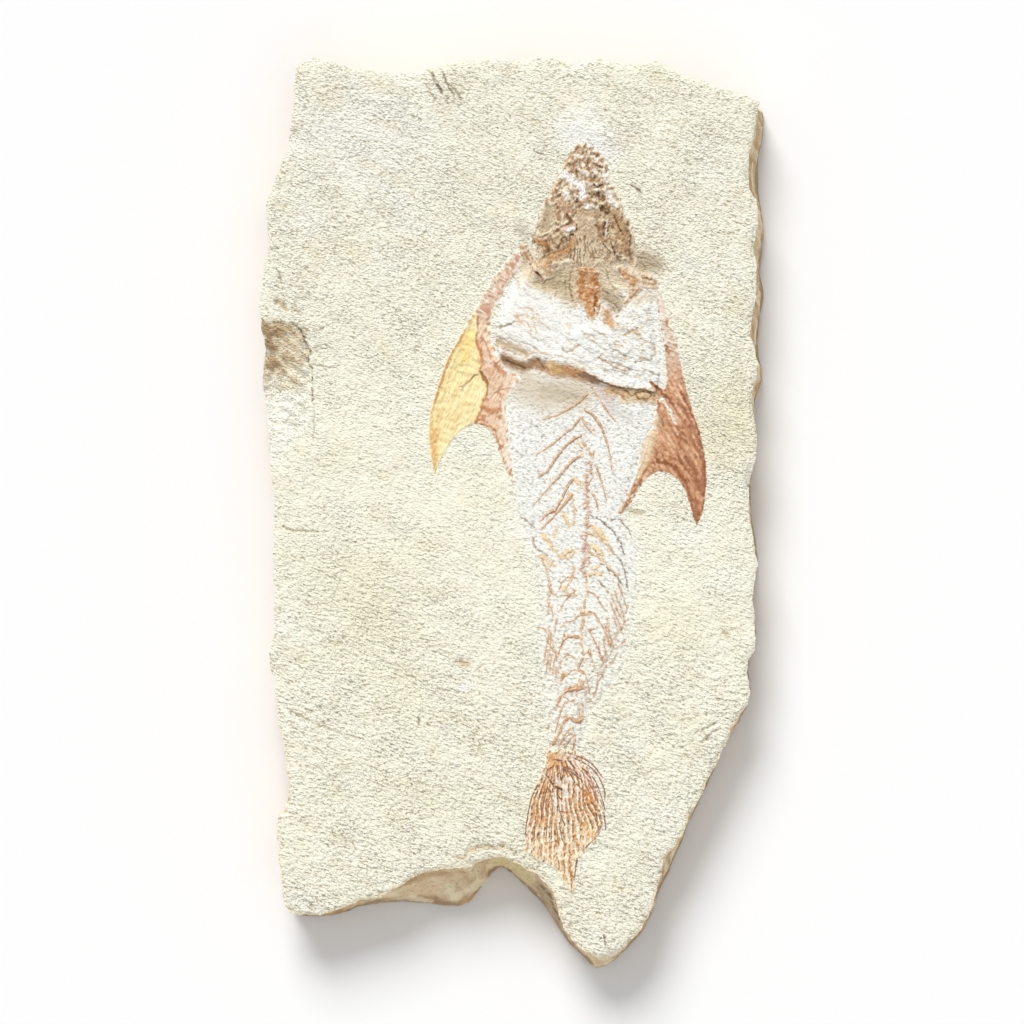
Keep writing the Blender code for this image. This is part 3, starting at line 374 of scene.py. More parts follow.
def places_of(bm):
    """The x, y and z of every vertex, as arrays."""
    return np.array([vert.co for vert in bm.verts]).T


def raise_to(bm, heights):
    """Gives every vertex its height."""
    for vert, height in zip(bm.verts, heights.tolist()):
        vert.co.z = height


def next_ring(bm, ring, places):
    """Extrudes a closed ring of vertices to new places and returns the new ring in the same order."""
    edges = [bm.edges.get(pair) for pair in zip(ring, ring[1:] + ring[:1])]
    made = set(bmesh.ops.extrude_edge_only(bm, edges=edges)["geom"])
    below = [next(e.other_vert(vert) for e in vert.link_edges if e.other_vert(vert) in made) for vert in ring]
    for vert, place in zip(below, places):
        vert.co = place
    return below


def linear(colour):
    """A 0 to 255 colour as the linear values that a shader takes."""
    share = np.asarray(colour, float) / 255
    return np.where(share <= 0.04045, share / 12.92, ((share + 0.055) / 1.055) ** 2.4)


def mixed(colour, other, share):
    """Blends two 0 to 255 colours, or arrays of them, by a share for each point."""
    share = np.clip(np.asarray(share, float), 0, 1)[..., None]
    return np.asarray(colour, float) * (1 - share) + np.asarray(other, float) * share


def finish_piece(name, bm, tint, material, nodes, streaks=1.0):
    """Makes a bmesh in mm a finished piece, with its colour and streakiness per point and its material."""
    bmesh.ops.recalc_face_normals(bm, faces=bm.faces[:])
    bmesh.ops.scale(bm, vec=(MM, MM, MM), verts=bm.verts[:])
    mesh = bpy.data.meshes.new(name)
    bm.to_mesh(mesh)
    bm.free()
    colours = np.ones((len(mesh.vertices), 4))
    colours[:, :3] = linear(tint)
    layer = mesh.color_attributes.new("tint", "FLOAT_COLOR", "POINT")
    layer.data.foreach_set("color", colours.ravel())
    streaky = mesh.attributes.new("streaks", "FLOAT", "POINT")
    streaky.data.foreach_set("value", np.broadcast_to(np.asarray(streaks, float), len(mesh.vertices)).copy())
    mesh.shade_smooth()
    mesh.materials.append(material)
    piece = bpy.data.objects.new(name, mesh)
    bpy.context.scene.collection.objects.link(piece)
    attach(piece, "root")
    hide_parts(*nodes)
    return piece


def mineral(name, roughness, grains, depth, hollow_shade, turn, other_turn=None):
    """A material that takes its colour from the piece's tint. Its streaked grain, of the given length and
    width in mm, stands out by a bump of the given depth in mm and by painted shade: the hollows between the
    grains are darkened towards the given shade colour. Towards the plate's foot the grain turns to the other
    angle."""
    material = bpy.data.materials.new(name)
    material.use_nodes = True
    nodes, link = material.node_tree.nodes, material.node_tree.links.new
    shader = nodes["Principled BSDF"]
    shader.inputs["Roughness"].default_value = roughness
    shader.inputs["Specular IOR Level"].default_value = 0.2
    place = nodes.new("ShaderNodeTexCoord")

    def blend(share, low, high):
        mix = nodes.new("ShaderNodeMix")
        for socket, value in ((mix.inputs["Factor"], share), (mix.inputs["A"], low), (mix.inputs["B"], high)):
            if isinstance(value, bpy.types.NodeSocket):
                link(value, socket)
            else:
                socket.default_value = value
        return mix.outputs["Result"]

    def streaks_of(size, angle):
        turned = nodes.new("ShaderNodeMapping")
        turned.vector_type = "TEXTURE"
        turned.inputs["Rotation"].default_value = (0, 0, math.radians(angle))
        length, width = (side * size * MM for side in grains)
        turned.inputs["Scale"].default_value = (length, width, width)
        link(place.outputs["Object"], turned.inputs["Vector"])
        noise = nodes.new("ShaderNodeTexNoise")
        noise.inputs["Scale"].default_value = 1.0
        noise.inputs["Detail"].default_value = 1.2
        noise.inputs["Roughness"].default_value = 0.55
        noise.inputs["Distortion"].default_value = 0.3
        link(turned.outputs["Vector"], noise.inputs["Vector"])
        return noise.outputs["Fac"]

    grain_height = blend(0.42, streaks_of(1.0, turn), streaks_of(0.72, turn + 34))
    if other_turn is not None:
        parts = nodes.new("ShaderNodeSeparateXYZ")
        link(place.outputs["Object"], parts.inputs["Vector"])
        up = nodes.new("ShaderNodeMapRange")
        up.inputs["From Min"].default_value, up.inputs["From Max"].default_value = -40 * MM, 40 * MM
        link(parts.outputs["Y"], up.inputs["Value"])
        low = blend(0.42, streaks_of(1.1, other_turn), streaks_of(0.76, other_turn - 36))
        grain_height = blend(up.outputs["Result"], low, grain_height)
    colour = nodes.new("ShaderNodeVertexColor")
    colour.layer_name = "tint"
    # Painted shade: where the grain is low, the tint is darkened towards the shade colour.
    open_share = nodes.new("ShaderNodeMapRange")
    open_share.inputs["From Min"].default_value, open_share.inputs["From Max"].default_value = 0.35, 0.45
    link(grain_height, open_share.inputs["Value"])
    dusted = nodes.new("ShaderNodeMix")
    dusted.data_type = "RGBA"
    dusted.inputs["A"].default_value = (*hollow_shade, 1)
    dusted.inputs["B"].default_value = (1, 1, 1, 1)
    streaky = nodes.new("ShaderNodeAttribute")
    streaky.attribute_name = "streaks"
    link(blend(streaky.outputs["Fac"], 1.0, open_share.outputs["Result"]), dusted.inputs["Factor"])
    broken = nodes.new("ShaderNodeVectorMath")
    broken.operation = "MULTIPLY"
    link(colour.outputs["Color"], broken.inputs[0])
    link(dusted.outputs["Result"], broken.inputs[1])
    link(broken.outputs["Vector"], shader.inputs["Base Color"])
    bump = nodes.new("ShaderNodeBump")
    link(streaky.outputs["Fac"], bump.inputs["Strength"])
    bump.inputs["Distance"].default_value = depth * MM
    link(grain_height, bump.inputs["Height"])
    link(bump.outputs["Normal"], shader.inputs["Normal"])
    return material


def laid(outline, step, seed=0, fine=()):
    """A bmesh of small triangles that fills an outline, its rim's vertices, and every vertex's x and y."""
    rim = walked(outline, step)
    bm, ring = sheet(rim, *scattered(outline, step, step * 0.6, seed, fine))
    x, y, _ = places_of(bm)
    return bm, ring, x, y


def closed_below(bm, ring, heights, depth, tint, under):
    """Gives a laid sheet its heights, and sinks it into the stone with a skirt and a flat underside. Returns
    its tint with the underside's colour added."""
    raise_to(bm, heights)
    low = min(vert.co.z for vert in ring) - depth
    below = next_ring(bm, ring, [(vert.co.x, vert.co.y, low) for vert in ring])
    bm.faces.new(below)
    return np.vstack([tint, np.repeat([under], len(ring), axis=0)])


def moved_in(ring, distance):
    """The ring's points moved towards the stone, square to the ring, which runs clockwise."""
    along = np.roll(ring, -1, axis=0) - np.roll(ring, 1, axis=0)
    along /= np.maximum(np.linalg.norm(along, axis=1, keepdims=True), 1e-6)
    return ring + np.stack([along[:, 1], -along[:, 0]], axis=1) * np.reshape(distance, (-1, 1))


# Cracks, creases, pits and stains of the face, and patches of painted shade: line, half width, rise, colour
# and share of the colour.
MARKS = [
    ([(-42.4, 37), (-41, 34.4)], 0.3, -0.5, (132, 104, 78), 0.64),
    ([(-41.2, 34.8), (-40.2, 32)], 0.2, -0.4, (150, 122, 92), 0.64),
    ([(-41, 32), (-40.2, 29), (-39.9, 26.6)], 0.2, -0.4, (130, 104, 78), 0.64),
    ([(-39.9, 25), (-39.9, 22.6)], 0.22, -0.4, (140, 110, 90), 0.64),
    ([(-39.6, 21.4), (-39.4, 18), (-39.8, 15)], 0.16, -0.25, (190, 172, 140), 0.56),
    # Painted shade under the hollow's top rim.
    ([(-47.4, 38.6), (-45.6, 38), (-44, 38.4), (-42.4, 37)], 0.5, -0.3, (170, 142, 108), 0.5),
    ([(-41.8, 37.2), (-39.6, 36.9), (-37.4, 37.2)], 0.2, -0.25, (160, 140, 108), 0.64),
    ([(-40, 33), (-37, 33.2), (-34.6, 32.8)], 0.2, -0.25, (170, 150, 118), 0.56),
    ([(-39.6, 29.8), (-36, 29.4), (-33.6, 29.6)], 0.2, -0.22, (170, 150, 118), 0.56),
    ([(-47.2, 42.6), (-46, 41.8), (-45.4, 40.8)], 0.6, -0.4, (196, 166, 124), 0.64),
    ([(-43.8, 41.4), (-42.4, 40.2)], 0.6, -0.3, (206, 176, 134), 0.56),
    ([(-47.2, 49.6), (-46.2, 46.6)], 0.3, -0.3, (160, 140, 110), 0.56),
    ([(-45.8, -2.8), (-42, -3.4), (-38.8, -3.6)], 0.34, -0.4, (190, 172, 138), 0.56),
    ([(-44.4, -39.6), (-38, -42.4), (-33.4, -44.2), (-30.4, -44.8)], 0.24, -0.25, (178, 164, 136), 0.56),
    ([(-16.4, 88.4), (-14, 84.4)], 0.34, -0.45, (146, 130, 104), 0.68),
    ([(-13.6, 87.8), (-11.6, 83.4)], 0.30, -0.40, (146, 130, 104), 0.64),
    ([(-15.8, 86.6), (-12.6, 82.2)], 0.26, -0.35, (160, 142, 114), 0.64),
    ([(-12, 85.8), (-10, 82.8)], 0.26, -0.35, (160, 142, 114), 0.56),
    ([(-17.2, 86), (-15.2, 82.8)], 0.26, -0.3, (170, 152, 122), 0.56),
    ([(-10.6, -29.4), (-9, -30.2)], 1.3, -0.25, (206, 180, 144), 0.64),
    ([(-9.8, -34.6), (-8.6, -34)], 1.7, 0.05, (255, 255, 250), 0.72),
    ([(-18.6, -40.6), (-18.3, -42.2)], 0.24, -0.25, (130, 110, 84), 0.64),
    ([(-17.2, -41.8), (-16.8, -42.4)], 0.2, -0.2, (150, 130, 100), 0.56),
    ([(42.5, -23.6), (43.2, -24.4)], 0.7, -0.4, (196, 176, 140), 0.64),
    ([(18.4, -84), (18.8, -86.2)], 0.26, -0.2, (112, 98, 84), 0.72),
    ([(17.6, -85), (19, -84.4)], 0.22, -0.2, (120, 106, 90), 0.64),
    ([(4.4, 72.9), (5.4, 72.1), (6.4, 71.8)], 0.22, -0.2, (100, 84, 66), 0.76),
    ([(23.8, 65.9), (25.6, 64.5)], 0.24, -0.2, (100, 84, 64), 0.76),
    # Painted shade beside the head, left and right, and a painted shadow at the root of the right fin.
    ([(1.4, 57.8), (3, 55.6)], 2.1, -0.25, (208, 200, 180), 0.68),
    ([(23, 0.9), (25.6, 0.4)], 1.1, -0.1, (176, 160, 130), 0.56),
    ([(25.8, 50.6), (29, 49.6)], 2.8, -0.2, (186, 168, 138), 0.75),
    ([(37, -44.2), (40.6, -41.6)], 0.3, -0.35, (196, 178, 146), 0.48),
    ([(38, -45.6), (41.6, -42.8)], 0.3, -0.35, (196, 178, 146), 0.48),
    # Painted shade along the notch's rim, which faces away from the light.
    ([(-9, -67.6), (-5, -66.4), (-2, -66.8)], 0.6, -0.4, (206, 178, 138), 0.56),
    ([(-12.4, -68.8), (-8.4, -68.6)], 0.5, -0.3, (190, 160, 118), 0.56),
    ([(-2.6, -66), (0.6, -67.4)], 0.5, -0.3, (206, 182, 144), 0.48),
]


def scar_tint(x, y, tint):
    """Tan with painted brown shade in the hollow's upper half, which faces away from the light, and a painted
    highlight of chalk white in its lower half, which faces the light.
    """
    depth = scar_inside(x, y)
    lumps = relief_noise(x, y, 3.4, 1.5, -36, 21) + 0.8 * relief_noise(x, y, 1.6, 0.9, -36, 22)
    upper = soft((y - 24.0 + 3.5 * relief_noise(x, y, 5.0, 3.0, 40, 23)) / 7.0)
    shaded = soft((0.25 - lumps + 0.4 * soft((-44.0 - x) / 5.0) + 0.5 * soft((y - 34.0) / 4.0)) / 1.1)
    # Painted highlight: chalk white over the lower half of the hollow.
    tint = mixed(tint, (250, 249, 238), soft(depth / 3.5) * (1 - upper) * 0.6)
    # Painted shade: brown over the upper half, darkest at its outer end and under its top rim.
    hollow = mixed((246, 233, 203), (192, 165, 128), shaded)
    return mixed(tint, hollow, soft((depth + 0.5 * lumps) / 2.2) * upper)


FLARED = RIGHT_EDGE + POINT_EDGE + NOTCH_EDGE
RIM = TOP_EDGE + [station[:2] for station in FLARED] + LEFT_EDGE
tucked = moved_in(np.array(RIM), UNDERCUT)
foot = np.concatenate([tucked[:len(TOP_EDGE)], [station[2:] for station in FLARED],
                       tucked[len(TOP_EDGE) + len(FLARED):]])

rim = walked(RIM, GRAIN_STEP)
stations = rim[:, 2]
ragged = 0.28 * relief_noise(rim[:, 0], rim[:, 1], 2.6, seed=11)
ragged += 0.2 * relief_noise(rim[:, 0], rim[:, 1], 1.1, seed=12)
rim_line = moved_in(rim[:, :2], 0.12 + ragged.clip(-0.1, 0.4))
foot = np.vstack([foot, foot[:1]])
foot_line = np.stack([np.interp(stations, range(len(foot)), foot[:, k]) for k in (0, 1)], axis=1)
rim[:, :2] = rim_line

thin_marks = [(line, MARK_REACH, MARK_STEP) for line, width, _, _, _ in MARKS if width < 0.4]
x, y = scattered(RIM, GRAIN_STEP, 0.4, 1, thin_marks + [SCAR_FINE])
covered = (depth_in(x, y, BED) > 2.2) | (depth_in(x, y, SKULL) > 1.5)
thin = np.random.default_rng(3).uniform(size=len(x)) < (GRAIN_STEP / UNDER_FISH_STEP) ** 2
x, y = x[~covered | thin], y[~covered | thin]
bm, ring = sheet(rim, x, y)
x, y, _ = places_of(bm)
edge = off_line(x, y, [tuple(p) for p in rim_line[::3]], closed=True)
worn = 0.34 * (1 - soft(edge / 0.8)) + 0.12 * (1 - soft(edge / 5.0))
heights = ground(x, y) + grain(x, y) - worn - lowered(x, y)
tint = scar_tint(x, y, face_tint(x, y))
drawn(x, y, heights, tint, MARKS, 0.3, 0.7)
# Painted shade: close to the rim in its lower half the face turns tan, where the rounded rim faces away from
# the light.
tint = mixed(tint, FRESH_BREAK_AND_RIM_SHADE, 0.7 * (1 - soft(edge / 0.9)) * soft((-y - 30.0) / 20.0))
raise_to(bm, heights)
face_count = len(bm.verts)

top = np.array([vert.co.z for vert in ring])
sharp = [bm.edges.get(pair) for pair in zip(ring, ring[1:] + ring[:1])]
along_wall = stations * 3.4     # about the mm walked along the rim
for level in range(1, WALL_RINGS + 1):
    down = level / WALL_RINGS
    out = np.interp(down, WALL_DOWN, WALL_OUT)
    line = rim_line + (foot_line - rim_line) * out
    z = top * (1 - down)
    bed = relief_noise(along_wall, z, 9.0, 1.7, seed=13)
    bed += 0.5 * relief_noise(along_wall, z, 2.4, 0.9, seed=14)
    fracture = relief_noise(along_wall, z, 7.0, 5.0, seed=15)
    fracture += 0.5 * relief_noise(along_wall, z, 1.6, 1.4, seed=16)
    hollowed = math.sin(math.pi * min(1, 0.08 + down * 0.9)) ** 0.5
    bite = (0.55 + 0.35 * bed + 0.45 * fracture).clip(0.0, 1.5) * hollowed
    line = moved_in(line, bite + (FOOT_CHAMFER if level == WALL_RINGS else 0.0))
    ring = next_ring(bm, ring, np.column_stack([line, z]).tolist())
back_rim = np.array([vert.co.xy for vert in ring])
back, back_ring = sheet(np.column_stack([back_rim, np.zeros(len(back_rim))]),
                        *scattered([tuple(p) for p in moved_in(back_rim[::6], 0.8)], BACK_STEP, 0.1, seed=2))
bx, by, _ = places_of(back)
raise_to(back, (0.28 + 0.28 * relief_noise(bx, by, 5.0, 3.4, 12, 17)).clip(0.0, 0.6))
for vert in back_ring:
    vert.co.z = 0.0
back_mesh = bpy.data.meshes.new("back")
back.to_mesh(back_mesh)
back.free()
bm.from_mesh(back_mesh)
bpy.data.meshes.remove(back_mesh)
bmesh.ops.remove_doubles(bm, verts=bm.verts[:], dist=0.0005)
for rim_edge in sharp:
    rim_edge.smooth = False

x, y, z = places_of(bm)
broken = relief_noise(x + z, y - z, 5.0, 2.4, 10, 31) + 0.6 * relief_noise(x + z, y - z, 1.6, 0.9, 10, 32)
broken += 0.3 * relief_noise(x + z, y - z, 0.9, 0.6, 10, 33)
bedded = relief_noise(x - y, z, 12.0, 1.2, seed=34) + 0.5 * relief_noise(x - y, z, 5.0, 0.7, seed=35)
fresh = mixed(FRESH_BREAK_AND_RIM_SHADE, DARK_BREAK, 0.46 + 0.7 * broken + 0.4 * bedded)
fresh = mixed(fresh, (176, 148, 114), soft((4.4 + 1.3 * broken - z) / 1.6) * 0.8)
wall = slice(face_count, None)
fresh = fresh[wall]
drawn(x[wall], y[wall], z[wall].copy(), fresh, [
    # The notch's left side: a smooth tan face with a pale foot, a broken ridge whose pale lit facet is a
    # painted highlight, and a rusty corner.
    ([(-20, -75.6), (-14, -74.4)], 2.6, 0, (252, 226, 190), 0.8),
    ([(-20.6, -77), (-16.4, -77.8)], 0.8, 0, (255, 238, 204), 0.9),
    ([(-12.6, -74.6), (-12, -77)], 1.3, 0, LIT_FACET_HIGHLIGHT, 0.95),
    ([(-11.4, -76.6), (-8.4, -75.4), (-5.2, -73.6)], 1.1, 0, LIT_FACET_HIGHLIGHT, 0.9),
    ([(-9.8, -78.2), (-7.6, -76.8)], 0.9, 0, (226, 186, 140), 0.8),
    ([(-19, -79.2), (-12, -79.8), (-9.4, -80)], 0.9, 0, (164, 138, 106), 0.9),
    # Its right side: olive at the top, then grey brown, with a dark line of painted shadow under the rim.
    ([(-3.6, -69.6), (0, -69.8), (3.6, -73.6)], 1.7, 0, OLIVE_BREAK, 0.9),
    ([(5.4, -75), (8, -78.6), (10.4, -84.4)], 1.5, 0, (196, 176, 148), 0.7),
    ([(5.6, -74), (8.2, -77.6), (9.8, -81.6)], 0.34, 0, (136, 114, 94), 0.9),
    ([(15, -90.8), (18, -91)], 0.6, 0, (244, 226, 190), 0.8),
], 0.3, 0.4)
tint = np.vstack([tint, fresh])
limestone = mineral("limestone", 0.92, (0.95, 0.5), 1.15, (0.68, 0.62, 0.49), -36, -18)
streaks = 1.0 + 0.3 * relief_noise(x, y, 8.0, 5.0, -30, 19)
streaks += bumps(x, y, [(15, 76, 9, -0.35), (42, 12, 30, 0.5), (-29, -17, 26, 0.4), (-38, 0, 14, 0.2)])
streaks += 0.3 * soft(depth_in(x, y, SCAR) / 2.0)
streaks[wall] = 0.6
stone = finish_piece("stone", bm, tint, limestone, ["limestone_slab"], streaks)

# ======================================================================================================
# The white bed of the fish
# Over the chest and the belly the stone is chalk white: a lumpy, wrinkled bed over the chest, broken off
# along a brown ledge with painted shade on its face, and below it the smooth mould of the body, with painted
# shade just under the ledge. It is the plate's own stone.
# ======================================================================================================

BED_STEP = 0.24                 # mm between its points
BED_PROUD, BED_SUNK = 0.22, 0.16    # mm that it stands over the plate's face, and lies sunk at its edge
BED_SKIRT = 0.8                 # mm that it reaches down into the plate
LEDGE_BROWN_AND_SHADE = (186, 148, 112)
LEDGE_TAN = (198, 148, 106)
# Line, half width, rise, colour and share of the colour.
BED_FEATURES = [
    # The beige stone between the head and the chest.
    ([(4, 50.4), (10, 48), (18, 46.6), (26, 49.6)], 5.2, -0.1, (228, 208, 176), 0.95),
    # Smooth hollows beside the throat, grey with painted shade, and the rough grey patch right of it.
    ([(5.4, 47), (9, 45.4), (12.4, 43.4)], 3.4, -0.30, (212, 192, 158), 0.85),
    ([(7, 46.4), (10.4, 45.4)], 1.6, -0.15, (190, 172, 140), 0.8),
    ([(19, 44), (21.2, 42)], 2.6, 0, (190, 170, 140), 0.9),
    ([(18.6, 47.6), (19.8, 46)], 1.4, 0.1, (244, 232, 206), 0.8),
    ([(20.4, 45.6), (24.6, 44.6)], 0.8, 0.12, (250, 238, 206), 0.9),
    ([(22.6, 46.2), (24.8, 45.6)], 0.9, 0, (228, 194, 162), 0.8),
    ([(25, 42.6), (28, 43.8)], 1.7, 0, (230, 218, 196), 0.9),
    ([(18.4, 44.8), (20.2, 43.6), (22.6, 43.4)], 0.2, -0.14, (134, 114, 88), 0.9),
    ([(18.6, 43.2), (20.2, 42.2), (21.6, 40.6)], 0.2, -0.14, (140, 120, 94), 0.8),
    ([(19.4, 41.8), (21.2, 39.6)], 0.2, -0.12, (146, 126, 100), 0.8),
    ([(20.6, 44.2), (22.2, 42.4)], 0.2, 0.12, (240, 226, 200), 0.8),
    ([(18.8, 40.2), (19.8, 38)], 1.5, 0.10, (208, 158, 112), 0.85),
    # Painted shade right of the head.
    ([(25.8, 50.4), (29.4, 49.4)], 2.6, -0.2, (190, 174, 146), 0.9),
    ([(12, 49.6), (11.4, 46), (12.2, 42.6)], 0.26, -0.15, (150, 120, 84), 0.7),
    ([(11.2, 49.4), (10.6, 46.4), (11, 43.6)], 0.24, -0.15, (170, 142, 104), 0.6),
    ([(18.6, 49.4), (19.4, 46.6), (20.8, 44.6)], 0.26, -0.15, (160, 130, 94), 0.6),
    ([(0.4, 39.6), (2.8, 39.8), (4.6, 38.2), (4.8, 36.2)], 0.24, -0.1, (224, 184, 150), 0.8),
    ([(1, 38.4), (2.8, 38.4), (3.8, 37), (3.6, 35.8)], 0.24, -0.1, (224, 184, 150), 0.8),
    ([(1.4, 41.2), (3.8, 41), (5.8, 39)], 0.24, -0.1, (226, 192, 160), 0.7),
    # Folds at the left of the chest, with a band of painted shade along the lower fold.
    ([(-4.2, 37.6), (-2, 37.4), (0.6, 38.4)], 0.35, -0.28, (150, 130, 108), 0.7),
    ([(-3.2, 34.6), (0, 33.3), (2.8, 32.1)], 1.5, -0.32, (198, 176, 144), 0.95),
    ([(-3.8, 35.4), (0.6, 34.8), (4, 33.6), (6.4, 31.9)], 0.26, -0.16, (170, 150, 126), 0.6),
    ([(4.4, 39.6), (7.6, 36.8)], 0.24, -0.12, (176, 160, 140), 0.5),
    ([(3.2, 36.2), (5.4, 34.4)], 0.22, -0.12, (176, 160, 140), 0.5),
    ([(10, 33.2), (11, 32.2), (13.2, 33.6)], 0.26, -0.18, (190, 150, 110), 0.8),
    ([(8.4, 31.8), (11.8, 31), (14.8, 29.8)], 0.22, -0.10, (206, 180, 150), 0.6),
    # Wrinkles down the right of it.
    ([(14.2, 36.6), (16.8, 34.8)], 0.36, -0.22, (180, 160, 136), 0.6),
    ([(15.6, 37), (19, 35.2)], 0.26, -0.18, (170, 152, 130), 0.6),
    ([(19.4, 33.4), (22.6, 31.6)], 0.30, -0.20, (170, 152, 130), 0.6),
    ([(17.2, 31.2), (20.4, 29.4), (23.6, 28.4)], 0.34, -0.22, (178, 146, 110), 0.7),
    ([(19.4, 30.6), (24, 28.9)], 0.28, -0.20, (160, 138, 112), 0.7),
    ([(20.2, 28.8), (25.6, 27)], 0.26, -0.18, (160, 144, 124), 0.6),
    ([(22.4, 35.6), (25.2, 37)], 0.30, -0.16, (206, 176, 136), 0.7),
    ([(21, 38), (23.6, 36.4)], 0.30, -0.16, (200, 170, 130), 0.7),
    ([(24.6, 30.4), (27.8, 31)], 0.30, -0.20, (150, 134, 116), 0.7),
    ([(26, 29.2), (29.6, 27.6)], 0.28, -0.18, (150, 134, 116), 0.7),
    ([(24, 40.4), (27, 38.6)], 0.26, -0.14, (206, 184, 150), 0.6),
    ([(25.4, 33.6), (26.6, 34.4), (28.2, 33.8), (28.6, 32.2), (27.4, 30.9), (25.8, 31.2)], 0.36, -0.14,
     (204, 182, 146), 0.6),
    ([(29.2, 43.6), (29.6, 40.4), (30.4, 36.6), (31, 34.6)], 0.30, -0.25, (170, 134, 100), 0.8),
    # Painted shade in the grey-beige band just below the ledge, where its shadow falls, and the brown crust
    # with its cells at its right end.
    ([(1.6, 26), (7, 23.8), (13.2, 24.6)], 6, 0, (220, 208, 186), 0.9),
    ([(6.8, 24.6), (12, 23.4)], 2.4, -0.08, (204, 190, 166), 0.7),
    ([(17.8, 24.6), (19.6, 22.4)], 2, 0, (222, 206, 196), 0.9),
    ([(20.4, 21), (23, 19.4)], 2.4, 0, (222, 220, 212), 0.7),
    ([(19.6, 25), (23.4, 23.8), (28.2, 23.4)], 2, 0.12, (220, 186, 144), 1),
    ([(20, 24.6), (22.2, 23.4), (23, 21.8)], 0.34, -0.12, (186, 138, 94), 0.9),
    ([(22.6, 24.6), (24, 23.6), (25, 24.2), (27.2, 24.4), (28.6, 23.6)], 0.3, -0.12, (150, 120, 82), 0.9),
    ([(25, 24.2), (25.4, 23), (27, 22.8), (28, 23.8)], 0.3, -0.12, (156, 124, 86), 0.9),
    ([(21.6, 22.6), (24.4, 22.2)], 0.6, 0.06, (242, 226, 190), 0.8),
    ([(25.6, 23.7), (27.2, 23.8)], 0.4, 0.1, (240, 220, 180), 0.8),
]
LEDGE_FEATURES = [
    # The broken face of the ledge, which faces away from the light: dark brown at the left, tan in the
    # middle, thin and dark to the right. Its brown is partly painted shade, and the dark lines along the lip
    # are painted shadow under it.
    ([(-1.6, 31.2), (0.6, 29.9), (2.8, 29.5), (4.6, 30.2), (6, 29.7)], 1.7, 0, LEDGE_BROWN_AND_SHADE, 1),
    ([(-1, 30.9), (0.8, 29.7), (2.6, 29.2)], 0.4, -0.10, (122, 88, 58), 0.8),
    ([(5, 31), (5.9, 30.2), (6.6, 29.2)], 0.3, -0.06, (132, 98, 70), 0.8),
    ([(7.8, 29), (10.2, 28.7), (13.6, 28)], 2, 0, LEDGE_TAN, 1),
    ([(8, 29.8), (9.4, 28.6)], 1.3, 0.08, (214, 176, 124), 0.9),
    ([(7.4, 30.4), (8, 28)], 0.5, 0.10, (232, 204, 154), 0.9),
    ([(10.2, 29.2), (13.4, 28.6)], 0.5, 0, (206, 156, 112), 0.8),
    ([(14.2, 27.8), (17, 26.6)], 1.3, 0, (170, 136, 106), 1),
    ([(14.4, 28.4), (17.2, 26.9), (20, 25.7), (22.4, 25.2)], 0.32, -0.08, (120, 92, 68), 0.9),
    ([(22.4, 25.1), (25.6, 24.8), (28.6, 24.3)], 0.34, -0.10, (150, 120, 84), 0.9),
    ([(3.4, 32.1), (5.2, 32.5), (7.6, 31.9)], 0.5, 0.1, (226, 196, 160), 0.6),
]
BODY_FEATURES = [
    # Thin creases and dark outlines lower on the body.
    ([(3, 18.6), (4.6, 17.6), (6.8, 15.2)], 0.34, -0.16, (196, 194, 184), 0.7),
    ([(0.6, 12.4), (2.6, 11.4), (5, 11.6)], 0.26, -0.12, (200, 198, 188), 0.6),
    ([(8.6, 18), (11.4, 16.4)], 0.3, -0.12, (214, 216, 216), 0.6),
    ([(0.8, -1.2), (2.2, -0.9), (4.4, -2.6)], 0.24, -0.14, (150, 128, 104), 0.8),
    ([(1, -2.2), (3.4, -2.4)], 0.2, -0.1, (170, 150, 126), 0.6),
    ([(4, -4.8), (5, -7.2), (7.2, -8.4)], 0.26, -0.14, (160, 142, 122), 0.7),
    ([(15.6, -0.2), (18.6, -1.6), (20.6, -3.8), (22.6, -8.2)], 0.22, -0.14, (112, 92, 70), 0.9),
    ([(19, -1), (21.6, -1.2), (23.4, -3.4), (24.8, -5.6)], 0.20, -0.12, (140, 120, 96), 0.8),
    ([(19.2, -6.2), (21.6, -9.2), (22.8, -12.4), (23.2, -15.2)], 0.22, -0.12, (120, 98, 74), 0.85),
    ([(17.6, -9.8), (20, -11.6), (22.6, -14.8)], 0.20, -0.12, (120, 98, 74), 0.85),
    ([(17.2, -13.2), (19.4, -15.8)], 0.20, -0.12, (130, 108, 84), 0.8),
    # Painted shadow at the root of the right fin.
    ([(23, 0.8), (25, -0.6)], 0.6, -0.15, (196, 186, 158), 0.6),
]


def chest_share(x, y):
    """1 on the chest, going softly to 0 on the body."""
    return soft(depth_in(x, y, BREAST) / 1.6)


def bed_relief(x, y):
    """Relief of the bed: lumps and wrinkles on the chest, a fine chalky grain on the body."""
    lumps = 0.22 * relief_noise(x, y, 3.2, 1.5, -32, 41) + 0.15 * relief_noise(x, y, 1.5, 0.8, -34, 42)
    lumps += 0.08 * relief_noise(x, y, 0.8, 0.6, -30, 43)
    lumps *= 0.7 + 0.55 * soft((x - 6.0) / 14.0)
    chalk = 0.08 * relief_noise(x, y, 1.5, 1.0, -28, 44) + 0.05 * relief_noise(x, y, 0.8, 0.6, -28, 45)
    chest = chest_share(x, y)
    return chest * lumps + (1 - chest) * chalk


def skin(x, y):
    """Height of the visible stone, with the relief of the bed where that lies."""
    share = soft(depth_in(x, y, BED) / 1.6)
    return ground(x, y) + grain(x, y) * (1 - share) + bed_relief(x, y) * share


